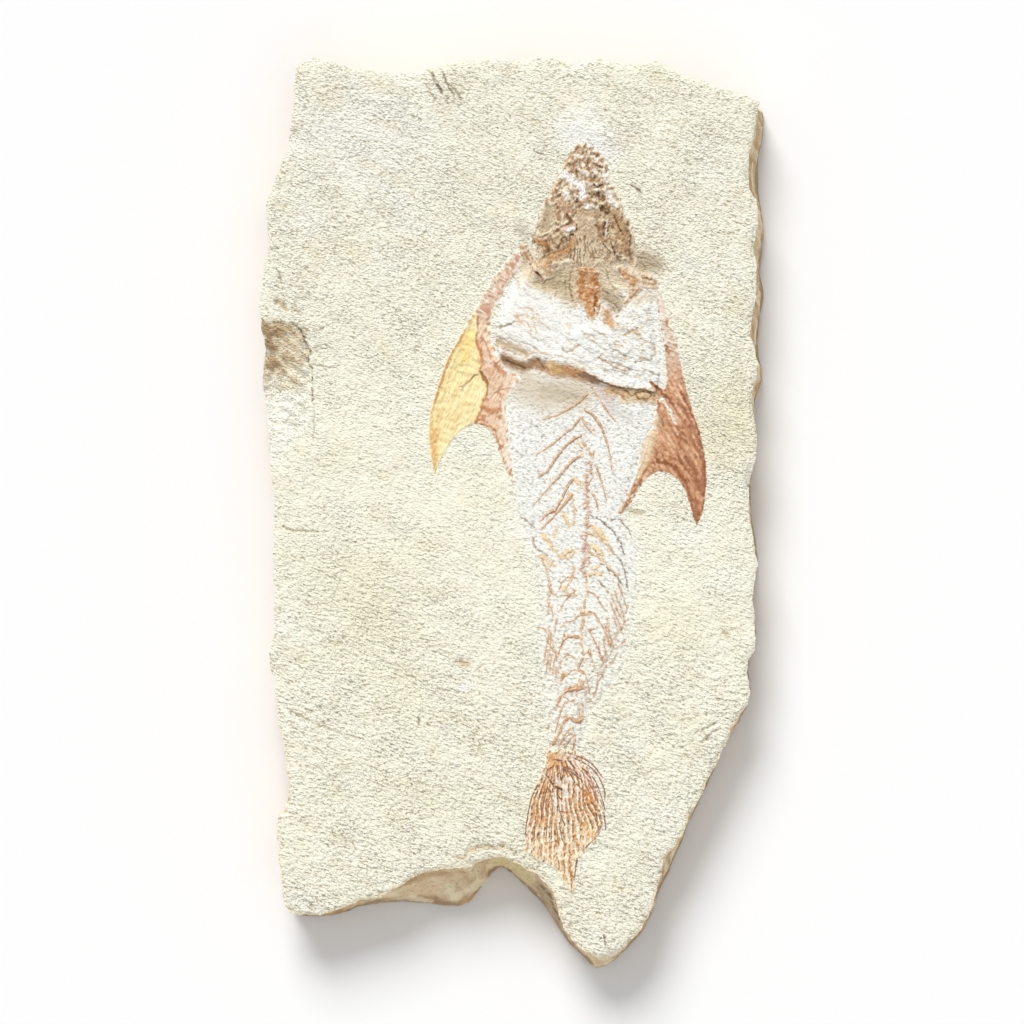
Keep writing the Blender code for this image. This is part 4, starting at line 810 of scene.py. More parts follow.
ledge_line = [
    (-1.4, 31), (2, 29.6), (6, 30), (9.6, 28.8), (13.6, 28), (17.6, 26.2), (22, 25.1), (28.6, 24.2),
]
bm, ring, x, y = laid(BED, BED_STEP, 4, [(ledge_line, 1.8, 0.14)])
heights = skin(x, y) + BED_PROUD * soft(depth_in(x, y, BED) / 1.6) - BED_SUNK
heights -= SKULL_DROP * soft((depth_in(x, y, SKULL) - 0.6) / 1.2)
tint = face_tint(x, y)
speckle = relief_noise(x, y, 0.75, 0.55, -40, 46) + 0.7 * relief_noise(x, y, 2.2, seed=47)
freckled = bumps(x, y, [(3.2, 38.6, 5, 1), (24, 36, 6, 0.8), (2.6, 46, 4, 0.9), (20, 31, 5, 0.5)])
tint = mixed(tint, (214, 178, 140), freckled * soft((speckle - 0.1) / 0.8))
dots = relief_noise(x, y, 0.62, 0.5, -40, 50)
tint = mixed(tint, (176, 172, 160), soft((dots - 0.28) / 0.3) * 0.62 * (1 - 0.8 * chest_share(x, y)))
worn = relief_noise(x, y, 2.6, 0.9, -30, 48) + 0.8 * relief_noise(x, y, 0.9, 0.45, -26, 49)
worn_share = 0.2 + 0.35 * chest_share(x, y) * soft((x - 2.0) / 14.0)
tint = mixed(tint, (208, 190, 160), soft((worn - 0.15) / 0.9) * worn_share)
drawn(x, y, heights, tint, BED_FEATURES + BODY_FEATURES, 0.22, 0.6)
drawn(x, y, heights, tint, LEDGE_FEATURES, 0.22, 0.25)
streaks = 1 - 0.3 * soft(depth_in(x, y, BED) / 1.6) - 0.25 * chest_share(x, y) * soft((18.0 - x) / 12.0)
streaks -= bumps(x, y, [(6.0, 25.0, 9.0, 0.3)])
tint = closed_below(bm, ring, heights, BED_SKIRT, tint, CREAM)
streaks = np.append(streaks, np.zeros(len(ring)))
fish_bed = finish_piece("fish_bed", bm, tint, limestone, ["limestone_slab"], streaks)

# ======================================================================================================
# The skull
# Crushed bones of the head, brown and tan, standing rough and pitted out of the stone, with chalk left in the
# gaps between them.
# ======================================================================================================

SKULL_STEP = 0.17               # mm between its points
SKULL_LIFT, SKULL_SKIRT = 0.5, 0.9  # mm that it stands over the stone, and reaches down into it
BONE_BROWN = (176, 144, 112)
BONE_TAN = (226, 208, 178)
BONE_PALE = (250, 244, 228)
SKULL_FEATURES = [
    # The gill fan's smooth tan field.
    ([(14.6, 55.6), (16, 51.6)], 4.4, -0.10, (228, 208, 176), 0.9),
    ([(14.2, 59), (16.4, 60)], 2.2, 0.10, (222, 202, 172), 0.8),
    # The left edge of the head: an orange-brown line, and the smooth grey plate below it.
    ([(12, 72.4), (10.2, 69.4), (8.6, 65.6), (7.2, 63)], 0.5, 0.14, (206, 156, 110), 0.85),
    ([(9.6, 68.6), (8, 64.4)], 0.8, -0.05, (226, 196, 160), 0.6),
    ([(7.2, 61), (6.6, 57.4)], 1.5, -0.12, (190, 172, 144), 0.95),
    ([(7.8, 62.4), (8.6, 59.4), (8.2, 56.8)], 0.22, -0.10, (224, 214, 192), 0.7),
    # Snout: prongs and a dark net of small bones.
    ([(13.2, 74.6), (13.6, 72.6), (13.2, 70.8)], 0.5, 0.25, (170, 124, 86), 0.9),
    ([(16.4, 73.6), (15.8, 72)], 0.34, 0.2, (176, 134, 98), 0.8),
    ([(14.4, 71.2), (13.4, 71.6)], 0.7, 0, (254, 248, 236), 0.9),
    ([(16, 71.6), (17, 70.6)], 0.6, 0, (254, 248, 236), 0.8),
    ([(14.2, 68.4), (15.6, 67.6)], 0.8, 0, (254, 248, 236), 0.85),
    ([(11.8, 72.6), (12.4, 70.6), (12, 68.6)], 0.45, 0.2, (168, 120, 82), 0.9),
    ([(15.2, 72.4), (14.2, 70.8), (15.4, 69.2)], 0.36, 0.2, (172, 124, 88), 0.9),
    ([(16.4, 72.4), (18.4, 72), (17.6, 70)], 0.7, 0.25, (190, 138, 96), 0.9),
    ([(16.8, 69.8), (18.6, 69)], 0.34, -0.2, (130, 88, 56), 0.9),
    ([(12.8, 69), (13.2, 66.6)], 0.3, -0.25, (120, 82, 54), 0.9),
    ([(11, 68.2), (11.8, 66.8)], 0.3, -0.2, (130, 92, 62), 0.8),
    ([(12.8, 67.2), (12.9, 64.4)], 0.55, 0.1, (190, 146, 110), 0.9),
    ([(15.6, 68.2), (15.8, 65.4)], 0.8, 0.15, (184, 144, 108), 0.95),
    ([(14.6, 68.6), (14.2, 66.8), (14.6, 65)], 0.3, 0.2, (246, 232, 208), 0.8),
    ([(17.2, 69), (18.2, 68.8), (18.9, 67.2), (18.6, 64.8)], 0.32, 0.25, BONE_PALE, 0.8),
    ([(17.8, 68.2), (18.2, 66)], 0.3, -0.2, (120, 84, 58), 0.8),
    # White chalk between the bones.
    ([(10, 68.2), (13.2, 65.8)], 1.5, 0.12, (255, 254, 250), 0.95),
    ([(14, 65.2), (14.4, 62.8)], 1.3, 0.15, (255, 255, 252), 1),
    ([(10.6, 64.6), (11.2, 63.2)], 1.1, 0.05, (254, 250, 240), 0.9),
    ([(18.6, 68), (20, 66)], 1.1, 0, (254, 250, 242), 0.9),
    ([(19.4, 64.2), (20.6, 61.6)], 1.2, 0.12, (254, 250, 240), 0.95),
    ([(16, 68.8), (17.6, 67.6)], 0.5, 0.1, (252, 244, 230), 0.8),
    ([(14.8, 66.4), (17, 65.6)], 0.4, 0.1, (250, 240, 222), 0.7),
    # The sockets: a ring with a dark mouth, and two deep dark pits with pale rims.
    ([(16, 67.6), (17, 68.3), (18, 67.4), (18, 66)], 0.34, 0.3, BONE_PALE, 0.85),
    ([(16.9, 67), (17.2, 66.6)], 0.8, 0.05, (206, 170, 130), 0.9),
    ([(16.4, 65.9), (17.4, 65.4), (18.2, 65.9)], 0.32, -0.3, (96, 66, 42), 0.95),
    ([(16.2, 64.6), (17.6, 65), (18.8, 64.4)], 0.4, 0.35, BONE_PALE, 0.9),
    ([(17.2, 63.7), (18, 63.1)], 0.95, -0.5, (126, 96, 60), 0.95),
    ([(16.6, 62.4), (18.2, 61.8), (18.9, 62.8)], 0.3, 0.3, (240, 222, 190), 0.9),
    ([(17.8, 61.2), (18.8, 60.2)], 0.7, -0.35, (110, 82, 52), 0.95),
    ([(18.8, 61.6), (19.6, 60)], 0.32, -0.2, (110, 80, 54), 0.8),
    ([(12.9, 63.2), (13, 62.2)], 0.28, -0.3, (84, 60, 40), 0.9),
    ([(12.9, 61.2), (13.6, 61.4)], 0.34, -0.35, (92, 66, 42), 0.95),
    ([(12.4, 62), (13.4, 60.8)], 0.7, -0.1, (206, 182, 146), 0.6),
    ([(13.8, 62.2), (15.2, 63), (16.8, 62.2)], 0.6, 0.15, (186, 146, 108), 0.9),
    ([(14.8, 61.5), (15.8, 61.6)], 0.85, 0.35, (255, 252, 244), 1),
    ([(13.8, 60.4), (15.6, 59.6), (17.8, 59.8)], 0.8, 0, (190, 158, 122), 0.8),
    ([(15.4, 58.8), (16.4, 58.4)], 1, 0.2, (238, 218, 190), 0.9),
    # Left cheek and jaw: struts, a pink plate, the jaw's brown lump and the orange gill arc. A strut and the
    # plate carry painted highlights, and the lump a painted shade on its right side.
    ([(9.2, 62.8), (10.6, 61.2), (9.8, 59.4)], 0.5, 0.15, (214, 182, 146), 0.7),
    ([(10.2, 62), (11.4, 60.4)], 1.1, 0.05, (206, 162, 130), 0.8),
    ([(8.8, 60.2), (9.6, 58.6)], 0.55, 0.15, (172, 128, 90), 0.9),
    # Painted highlight on a strut.
    ([(10.2, 59.8), (10, 58.2)], 0.36, 0.35, (252, 240, 216), 0.9),
    ([(11, 59.8), (11.8, 58.4), (10.2, 57.2), (9.2, 56.6)], 0.42, -0.2, (126, 84, 52), 0.95),
    ([(11.6, 59.8), (12.8, 58.6)], 0.4, 0.2, (246, 226, 196), 0.8),
    ([(10, 57), (12.2, 57.4)], 1.1, 0.18, (244, 216, 200), 0.9),
    # Painted highlight on the pink plate.
    ([(11.4, 56.6), (12.2, 56.9)], 0.6, 0.2, (255, 255, 255), 1),
    ([(12.9, 57.8), (12.9, 56.6)], 0.34, -0.25, (128, 88, 58), 0.9),
    ([(11.6, 55.7), (12.2, 55.8)], 0.34, -0.3, (82, 56, 36), 0.95),
    ([(5.6, 55.6), (7.6, 56.4), (9.6, 57.6), (11.2, 58.4)], 0.34, 0.3, (250, 234, 206), 0.9),
    ([(5.6, 54.4), (6.8, 53.6)], 1.15, 0.35, (188, 132, 80), 1),
    # Painted shade on the lump's right side.
    ([(6.8, 54.4), (7.2, 53)], 0.5, 0, (142, 92, 50), 0.9),
    ([(8.6, 55), (9.4, 54.6)], 1, 0.15, (200, 174, 142), 0.9),
    ([(7.8, 55.4), (8.2, 54), (9.4, 53.6), (10.2, 54.6)], 0.24, -0.2, (150, 116, 80), 0.8),
    ([(9.9, 54.9), (10.6, 55.4), (10.9, 54.6), (10.3, 53.9), (9.9, 54.9)], 0.22, -0.2, (120, 90, 60), 0.8),
    ([(11, 52.4), (11.2, 52)], 0.34, -0.3, (84, 60, 40), 0.9),
    ([(4.4, 53.2), (5.2, 52.6)], 0.4, 0.1, (240, 224, 194), 0.7),
    # Right cheek: brown, furrowed lengthwise, with long dark cracks down to the gill.
    ([(20.4, 60), (22.2, 56), (23.4, 52.4)], 1.5, 0.12, (188, 150, 108), 0.9),
    ([(21.4, 62), (22.6, 59), (24.2, 55.2)], 0.34, 0.2, (232, 208, 174), 0.8),
    ([(20.4, 59.8), (21.2, 57.6), (22, 56)], 0.24, -0.22, (112, 78, 48), 0.9),
    ([(22, 61.4), (22.8, 59.4)], 0.22, -0.15, (120, 88, 58), 0.8),
    ([(23.2, 58), (23.8, 55), (23.4, 52.2), (24.2, 49.8)], 0.32, -0.28, (112, 78, 48), 0.9),
    ([(24.9, 53.2), (25, 51)], 0.3, -0.15, (140, 112, 80), 0.7),
    ([(19.8, 56.8), (21.4, 54)], 0.7, 0.15, (236, 214, 178), 0.8),
    ([(18.5, 58.4), (18.2, 56.6), (18.4, 55.6)], 0.26, -0.35, (76, 54, 34), 0.95),
    ([(19, 58.6), (18.8, 57), (18.9, 55.6)], 0.24, 0.25, (250, 240, 220), 0.9),
    ([(19.5, 58.2), (19.2, 56.4)], 0.22, -0.2, (130, 96, 62), 0.8),
    ([(17.4, 57.8), (17.6, 55.6), (18.4, 54.6)], 0.7, 0.15, (172, 132, 92), 0.9),
    ([(16.8, 57.6), (17.2, 56.8)], 0.3, -0.2, (110, 80, 52), 0.8),
    ([(18, 54.4), (19.4, 52.6), (21.2, 50.8)], 0.26, -0.28, (96, 68, 42), 0.95),
    ([(18.6, 54), (20, 52), (21.4, 50.2)], 0.2, 0.18, (246, 234, 210), 0.8),
    ([(19.6, 54.2), (20.4, 52.8), (20.6, 51.6)], 0.26, -0.25, (110, 80, 52), 0.9),
    ([(21, 51.6), (21.4, 51.2)], 0.3, -0.25, (84, 60, 38), 0.9),
    ([(20.4, 55.4), (22.4, 52)], 0.5, 0.1, (214, 180, 136), 0.7),
]

bm, ring, x, y = laid(SKULL, SKULL_STEP, seed=5)
depth = depth_in(x, y, SKULL)
inner = soft(depth / 1.5)
rough = 0.28 * relief_noise(x, y, 1.5, 1.1, 70, 61) + 0.20 * relief_noise(x, y, 0.75, 0.55, 60, 62)
rough += 0.12 * relief_noise(x, y, 0.42, 0.36, 60, 67)
smoothed = bumps(x, y, [(15.0, 52.0, 6.0, 0.85), (6.8, 59.0, 3.4, 0.9), (15.0, 59.4, 3.0, 0.5)]).clip(0, 0.9)
heights = ground(x, y) - SUNK + inner * SKULL_LIFT + rough * (1 - smoothed) * inner
mottle = relief_noise(x, y, 1.1, 0.8, 60, 63) + 0.6 * relief_noise(x, y, 0.5, 0.4, 60, 64)
speck = relief_noise(x, y, 1.0, 0.7, 60, 65) + 0.55 * relief_noise(x, y, 0.45, 0.36, 60, 66)
snout = soft((y - 60.0) / 5.0)
tint = mixed(BONE_TAN, BONE_BROWN, soft((mottle + 0.45) / 1.1))
tint = mixed(tint, BONE_TAN, smoothed)
# The gill fan: fine wavy ribs that spread downwards.
leaning = x - 14.0 + soft((x - 15.4) / 2.6) * (y - 53.0) * 0.8
spread = leaning / (0.62 + 0.012 * (56.0 - y)) + 0.6 * relief_noise(x, y, 2.0, 1.3, 90, 68)
spread += 0.25 * relief_noise(x, y, 0.8, seed=70)
broken_up = (0.75 + 0.8 * relief_noise(x, y, 1.6, 0.8, 90, 69)).clip(0, 1.2)
ribbed = np.sin(2 * math.pi * spread) * soft((4.0 - off_line(x, y, [(13.6, 56), (15, 51), (17, 50.4)])) / 1.8)
ribbed *= (1 - 0.45 * soft((x - 16.0) / 2.0)) * soft((57.0 - y) / 2.4) * broken_up
heights += 0.16 * ribbed
tint = mixed(tint, (248, 236, 210), soft(ribbed / 0.9) * 0.8)
tint = mixed(tint, (116, 86, 58), soft((-ribbed - 0.15) / 0.5) * 0.85)
tint = mixed(tint, (124, 92, 64), soft((-0.2 - speck) / 0.5) * (1 - 0.8 * smoothed) * 0.7)
tint = mixed(tint, (252, 242, 222), soft((speck - 0.35) / 0.5) * (1 - 0.8 * smoothed) * 0.6)
ribs_over = tint.copy()
drawn(x, y, heights, tint, [(*place, mixed(colour, (186, 166, 138), 0.0 if min(colour) > 180 else 0.2), share)
                            for *place, colour, share in SKULL_FEATURES], 0.14, 0.6)
tint = mixed(tint, ribs_over, 0.6 * soft(abs(ribbed) / 0.5))
# The smooth orange arc at the left of the gill, brown along its upper edge, with a cream band under it.
drawn(x, y, heights, tint, [

    ([(12.3, 54.6), (11.4, 52.8), (9.4, 51.8), (7.4, 51), (6.4, 49.6), (7.6, 48)],
     1.15, 0.2, (206, 162, 118), 0.85),
    ([(11.6, 55), (11, 53.4), (9.6, 52.6), (7.2, 51.8)], 0.4, 0, (162, 112, 66), 0.8),
    ([(6, 50.2), (7, 48.8)], 0.7, 0.1, (236, 190, 140), 0.9),
    ([(8.4, 49.9), (11.4, 50.6)], 0.8, 0.1, (250, 238, 208), 0.9),
], 0.12, 0.25)
tint = mixed(tint, (255, 251, 242), soft((speck - 0.25) / 0.4) * snout * 0.85)
heights += 0.10 * speck * (1 - smoothed) * inner
low = soft((54.0 - y) / 4.0)
around = mixed(face_tint(x, y), (242, 222, 190), 0.8 * low)
tint = mixed(around, tint, soft((depth + 0.7 * mottle + 0.2) / (1.7 + low)))
tint = closed_below(bm, ring, heights, SKULL_SKIRT, tint, BONE_TAN)
skull_bone = mineral("skull_bone", 0.8, (0.6, 0.42), 0.42, (0.56, 0.46, 0.34), 70)
finish_piece("skull", bm, tint, skull_bone, ["skull"])

# ======================================================================================================
# The throat bone and the shoulder bones
# Loose rust and orange plates of bone behind the head: one on the midline, and one at the root of each front
# fin.
# ======================================================================================================

RUST = (196, 142, 96)
SMALL_STEP = 0.16               # mm between their points
PLATE_LIFT, PLATE_SKIRT = 0.34, 0.8     # mm that they stand over the stone, and reach down into it
THROAT = [
    (12.2, 49.6), (15, 49.8), (17.9, 48.9), (18.2, 46), (18.4, 42.4), (17.6, 39.4), (16.2, 37.9),
    (14.8, 38.6),
    (13.8, 41.4), (12.6, 43), (12, 46.6),
]
THROAT_FEATURES = [
    ([(13, 49), (15, 48.5), (17.4, 48.2)], 0.3, 0.2, (236, 190, 140), 0.8),
    ([(13.8, 48.4), (13.9, 45.4), (13, 43.4)], 0.7, 0.15, (192, 130, 84), 0.8),
    ([(16.4, 47.6), (16.8, 44.6)], 1.1, 0.2, (190, 128, 82), 0.8),
    ([(15, 48.2), (15.2, 46.2)], 0.5, -0.1, (216, 170, 124), 0.8),
    ([(14.8, 45.6), (16, 45.2), (17.2, 45.4)], 0.26, 0.2, (252, 240, 214), 0.95),
    ([(15.6, 44.8), (14.8, 43)], 0.8, 0.15, (196, 132, 82), 0.8),
    ([(16.6, 44), (16.9, 40.8)], 0.5, -0.15, (148, 88, 50), 0.9),
    ([(15.4, 42), (15.6, 39.8)], 0.8, 0.1, (208, 148, 98), 0.7),
    ([(12.3, 48.6), (12.4, 45)], 0.5, -0.1, (226, 206, 170), 0.7),
    ([(14, 42.4), (14.2, 40.6)], 0.4, 0.1, (250, 236, 210), 0.8),
    ([(17.8, 44), (17.9, 41)], 0.4, 0, (240, 226, 200), 0.7),
]
LEFT_SHOULDER = [
    (1.4, 54.2), (3, 54.2), (4.4, 52.2), (5.2, 50.6), (6.2, 48.6), (7, 47.2), (6, 46), (4.4, 46.6),
    (3.2, 48.6), (2.2, 50.4), (1, 52),
]
LEFT_SHOULDER_FEATURES = [
    ([(2, 53.4), (2.8, 51.6)], 0.9, 0.15, (196, 152, 118), 0.9),
    ([(2.8, 53.4), (4.4, 51)], 0.22, -0.2, (132, 94, 62), 0.9),
    ([(2.4, 52.4), (3.6, 50.6)], 0.22, -0.2, (140, 102, 70), 0.8),
    ([(3.6, 50), (4.4, 48.6), (5.8, 47.6)], 0.34, -0.35, (84, 56, 34), 1),
    # Painted highlight beside the dark arc.
    ([(4.2, 50), (5.2, 48.9), (6.4, 48.2)], 0.5, 0.25, (252, 240, 206), 0.9),
    ([(4.4, 47.4), (5.4, 46.9)], 0.7, 0.1, (206, 174, 146), 0.8),
]
RIGHT_SHOULDER = [
    (20, 49.6), (22.4, 50.4), (25.2, 48.6), (28.4, 48), (30.2, 46.2), (29.2, 44.4), (26.6, 44.6),
    (24.4, 42.2), (22.2, 40.9), (21.8, 42.4), (22.8, 44.6), (22.6, 46.4), (20.6, 47.6),
]
RIGHT_SHOULDER_FEATURES = [
    ([(20.8, 48.8), (22.8, 47.4), (24.4, 46.4)], 0.95, 0.25, (206, 152, 104), 0.95),
    ([(21.4, 49), (23.4, 47.8), (24.8, 47)], 0.24, -0.15, (176, 130, 88), 0.8),
    ([(21.6, 47.4), (23.4, 45.8)], 0.4, 0.15, (250, 230, 190), 0.8),
    ([(25.4, 44.8), (23.8, 43.6), (22.6, 41.6)], 0.5, 0.15, (176, 136, 104), 0.9),
    ([(24.8, 44.9), (23, 45)], 0.34, 0.15, (196, 162, 122), 0.8),
    ([(25, 47), (27, 46.6), (28.6, 46), (29.4, 45.2)], 0.34, 0.15, (196, 160, 130), 0.6),
    ([(26, 47.4), (28.2, 46.8), (29.6, 45)], 0.2, -0.15, (140, 108, 84), 0.8),
    ([(25.4, 45.8), (27, 45.4)], 0.7, 0.1, (232, 214, 196), 0.9),
]


def bone_plate(name, outline, features, ground_colour, other_colour, material, seed):
    """A thin, rough plate of bone whose edge crumbles away into the stone."""
    bm, ring, x, y = laid(outline, SMALL_STEP, seed)
    depth = depth_in(x, y, outline)
    mottle = relief_noise(x, y, 0.9, 0.7, 40, seed + 1) + 0.6 * relief_noise(x, y, 0.45, 0.4, 40, seed + 2)
    heights = skin(x, y) - SUNK + soft(depth / 0.9) * (PLATE_LIFT + 0.10 * mottle)
    tint = mixed(ground_colour, other_colour, soft((mottle + 0.5) / 1.2))
    drawn(x, y, heights, tint, features, 0.16, 0.6)
    tint = mixed(mixed(face_tint(x, y), BEIGE, 0.5), tint, soft((depth + 0.8 * mottle) / 1.3))
    tint = closed_below(bm, ring, heights, PLATE_SKIRT, tint, ground_colour)
    finish_piece(name, bm, tint, material, [name])


rust_bone = mineral("rust_bone", 0.8, (0.6, 0.42), 0.42, (0.62, 0.46, 0.32), 60)
dark_bone = mineral("dark_bone", 0.8, (0.6, 0.42), 0.35, (0.62, 0.52, 0.40), 60)
orange_bone = mineral("orange_bone", 0.8, (0.6, 0.42), 0.35, (0.66, 0.54, 0.40), 60)
bone_plate("throat_bone", THROAT, THROAT_FEATURES, (232, 196, 152), RUST, rust_bone, 70)
bone_plate("left_shoulder_bone", LEFT_SHOULDER, LEFT_SHOULDER_FEATURES, (242, 228, 206), (206, 170, 136),
           dark_bone, 75)
bone_plate("right_shoulder_bone", RIGHT_SHOULDER, RIGHT_SHOULDER_FEATURES, (238, 224, 200), (206, 174, 138),
           orange_bone, 80)

# ======================================================================================================
# The front fins
# Two thin wing-like fins of fibrous skin and fine rays. The left one has a striated pinkish front edge, a
# yellow outer vane and a ragged seam to its pink inner vane; the right one is red brown, darkest at the tip.
# ======================================================================================================

FIN_STEP = 0.19                 # mm between their points
FIN_LIFT, FIN_SKIRT = 0.26, 0.6     # mm that they stand over the stone, and reach down into it
LEFT_FIN = [
    (2.2, 53.2), (0.4, 52.4), (-1.6, 50.4), (-4, 47.2), (-6.2, 43.4), (-7.8, 40.6), (-9.2, 38.4),
    (-10.8, 35.4),
    (-12.8, 31.8), (-14.1, 28.4), (-15, 25.6), (-15.9, 22.8), (-16.6, 19.8), (-16.9, 16.2), (-16.6, 12.4),
    (-15.6, 7.2), (-13.8, 11.2), (-12.4, 13.8), (-11, 15.8), (-9.2, 17), (-7.2, 17.9), (-5.6, 17.4),
    (-4.4, 16.4), (-3.4, 14.4), (-2.6, 11.4), (-1.4, 8.2), (0.6, 5), (0.2, 10.4), (-0.6, 16.8),
    (-1.2, 22.2), (0.6, 25.2), (2.4, 26.6), (1.6, 28), (-0.4, 28.6), (-2.4, 31.4), (-3.8, 34.6), (-4.2, 38.8),
    (-2.8, 42), (-1.2, 45), (0.8, 47.6), (2, 50.2),
]
SEAM = [
    (-7, 39.6), (-6.9, 36.8), (-7.2, 34.4), (-6.4, 32.8), (-6, 30.4), (-6.4, 28.4), (-5.6, 26.8), (-5, 25.8),
    (-5, 24.2), (-5.6, 22.8), (-6.2, 20.8), (-7.4, 18.4),
]
YELLOW_VANE = [(-7.6, 41.0)] + SEAM + [(-7.6, 16.0), (-16.0, 4.0), (-19.0, 16.0), (-14.0, 34.0)]
YELLOW = (252, 235, 180)
YELLOW_DEEP = (238, 206, 140)
RIM_ORANGE = (206, 152, 92)
PINK = (238, 208, 178)
PINK_DEEP = (200, 146, 116)
LEFT_FIN_FEATURES = [
    # Front edge of the yellow vane, and its deeper yellow towards the tip.
    ([(-7.8, 39.8), (-9, 38), (-10.4, 35), (-12.4, 31.6), (-13.7, 28.4), (-14.6, 25.4), (-15.6, 22.4)],
     0.5, 0.16, RIM_ORANGE, 0.95),
    ([(-8.2, 39.2), (-10.6, 34)], 0.9, 0, (214, 164, 104), 0.6),
    ([(-15.6, 22.4), (-16.3, 19), (-16.4, 14)], 0.5, 0.1, (236, 190, 124), 0.8),
    ([(-15.6, 16.6), (-15.6, 12.6), (-15.5, 8.6)], 1.1, 0.08, (232, 184, 118), 0.85),
    ([(-14.6, 20.8), (-15.2, 14.6)], 0.8, 0.05, (238, 200, 136), 0.6),
    ([(-8.4, 35.6), (-9.4, 31.4)], 1.8, 0, (254, 232, 150), 0.7),
    # Fibres and cracks of the yellow vane.
    ([(-8.4, 37), (-10.6, 32.6), (-12.4, 28.4), (-14, 22.6)], 0.20, 0.08, (236, 198, 128), 0.7),
    ([(-8, 34.8), (-9.8, 31), (-12.6, 24.6), (-14.6, 18)], 0.18, 0.06, (240, 206, 140), 0.6),
    ([(-7.6, 32.4), (-9.6, 27.4), (-12.8, 20.4)], 0.18, 0.06, (242, 210, 146), 0.6),
    ([(-6.4, 28.2), (-8, 27.2), (-9.8, 25.4)], 0.24, -0.10, (170, 130, 84), 0.9),
    ([(-9.6, 25.6), (-10.6, 25.3)], 0.2, -0.08, (180, 140, 92), 0.6),
    ([(-8.4, 31.6), (-10.2, 30.2), (-11.2, 28.8)], 0.2, -0.06, (228, 192, 124), 0.7),
    ([(-8.4, 21.8), (-10.4, 21.4), (-11.8, 19.8)], 0.22, -0.06, (228, 196, 144), 0.6),
    ([(-9.2, 19.4), (-11.4, 17.8), (-13.2, 14.8)], 0.24, 0.05, (255, 246, 206), 0.7),
    ([(-8, 18.6), (-10.4, 17), (-12, 14.8), (-13.4, 12)], 0.34, 0.08, (254, 248, 214), 0.8),
    # The ragged seam.
    (SEAM, 0.34, 0.10, (190, 134, 84), 0.9),
    ([(-6.4, 29), (-5.6, 27.4), (-5, 26.2)], 0.55, 0.12, (160, 106, 66), 0.9),
    ([(-7.2, 34.8), (-6.6, 33), (-6, 31.2)], 0.45, 0.1, (206, 140, 92), 0.8),
    ([(-7.6, 38.6), (-7, 36.4)], 0.36, 0.1, (255, 246, 214), 0.8),
    ([(-6.4, 24.6), (-5.6, 23.6)], 0.5, 0.1, (255, 244, 210), 0.8),
    # The pink inner vane with its red-brown fibres, and its trailing end.
    ([(-6.2, 30.6), (-5, 29), (-3.6, 27.4)], 1.1, 0.05, (226, 178, 144), 0.7),
    ([(-5.8, 35.4), (-4.4, 31.6), (-2.6, 28.6)], 0.22, 0.10, (200, 140, 104), 0.8),
    ([(-5, 33.6), (-3.6, 30.4), (-1.6, 28.6)], 0.20, 0.08, (206, 150, 114), 0.7),
    ([(-3.2, 29.4), (-1.4, 28)], 0.8, 0.10, (204, 146, 112), 0.85),
    ([(-4.8, 22.8), (-2.4, 25), (0, 25.4)], 0.20, 0.10, (190, 134, 98), 0.8),
    ([(-4.8, 21.6), (-2.6, 22.2)], 1.2, 0, (236, 200, 166), 0.6),
    ([(-5.8, 21.4), (-4.4, 20.4), (-3, 20.8)], 0.8, 0.10, (204, 142, 100), 0.9),
    ([(-7, 18.6), (-5.6, 19.6)], 0.7, 0.08, (206, 144, 100), 0.9),
    ([(-6.4, 18), (-4.4, 17.6), (-3.2, 16.6)], 0.36, 0.08, (190, 128, 86), 0.8),
    ([(-2.4, 21.2), (-1.8, 18), (-1.2, 14), (-0.4, 9.6)], 0.2, 0.10, (206, 156, 122), 0.6),
    ([(-3.6, 17.2), (-2.8, 14.6), (-1.8, 11.2), (-0.8, 8), (0.5, 5.4)], 0.2, 0.10, (176, 122, 90), 0.75),
    ([(-2.2, 18.6), (-1.2, 14.4), (-0.6, 9.2)], 0.5, 0, (248, 236, 220), 0.8),
    # The front edge's inner border.
    ([(2, 52.2), (0.2, 49.4), (-1.4, 46.4), (-3.2, 43)], 0.3, 0.08, (206, 156, 122), 0.7),
    ([(1.6, 53), (-1, 50.8), (-3.6, 47.4), (-6, 43.2)], 0.3, 0.08, (196, 144, 110), 0.7),
    ([(-6.6, 42.2), (-4.6, 40.4), (-4.4, 38.6)], 0.9, 0.05, (204, 156, 126), 0.8),
]
RIGHT_FIN = [
    (28.8, 45.4), (29.8, 45), (30.8, 43), (31.6, 39.8), (32.6, 36.8), (33.3, 33.8), (33.8, 30.8),
    (34.6, 26.8),
    (35.3, 24), (36.4, 20.8), (37.4, 17.8), (38.2, 14.8), (38.8, 11.8), (39.1, 8.8), (39.1, 5.8), (38.8, 2.8),
    (38.3, 0), (37, -3), (35.9, -0.2), (34.7, 3.8), (33.9, 5.5), (33, 6.9), (31.2, 8), (29.2, 8.3),
    (27.8, 7.5), (26.5, 6.3), (25.3, 4.4), (24.3, 2.4), (21.6, -0.4), (20.9, 0.2), (22.6, 4), (23.6, 6.2),
    (24.8, 9.8), (25.3, 13.6), (26.6, 16.2), (27.8, 17.4), (28, 19.4), (28.8, 22.2), (27, 26.6), (28, 27),
    (30.4, 25), (30.8, 27.2), (30.5, 30.6), (30.1, 34), (29.4, 37.6), (28.7, 41.6),
]
RED = (214, 164, 128)
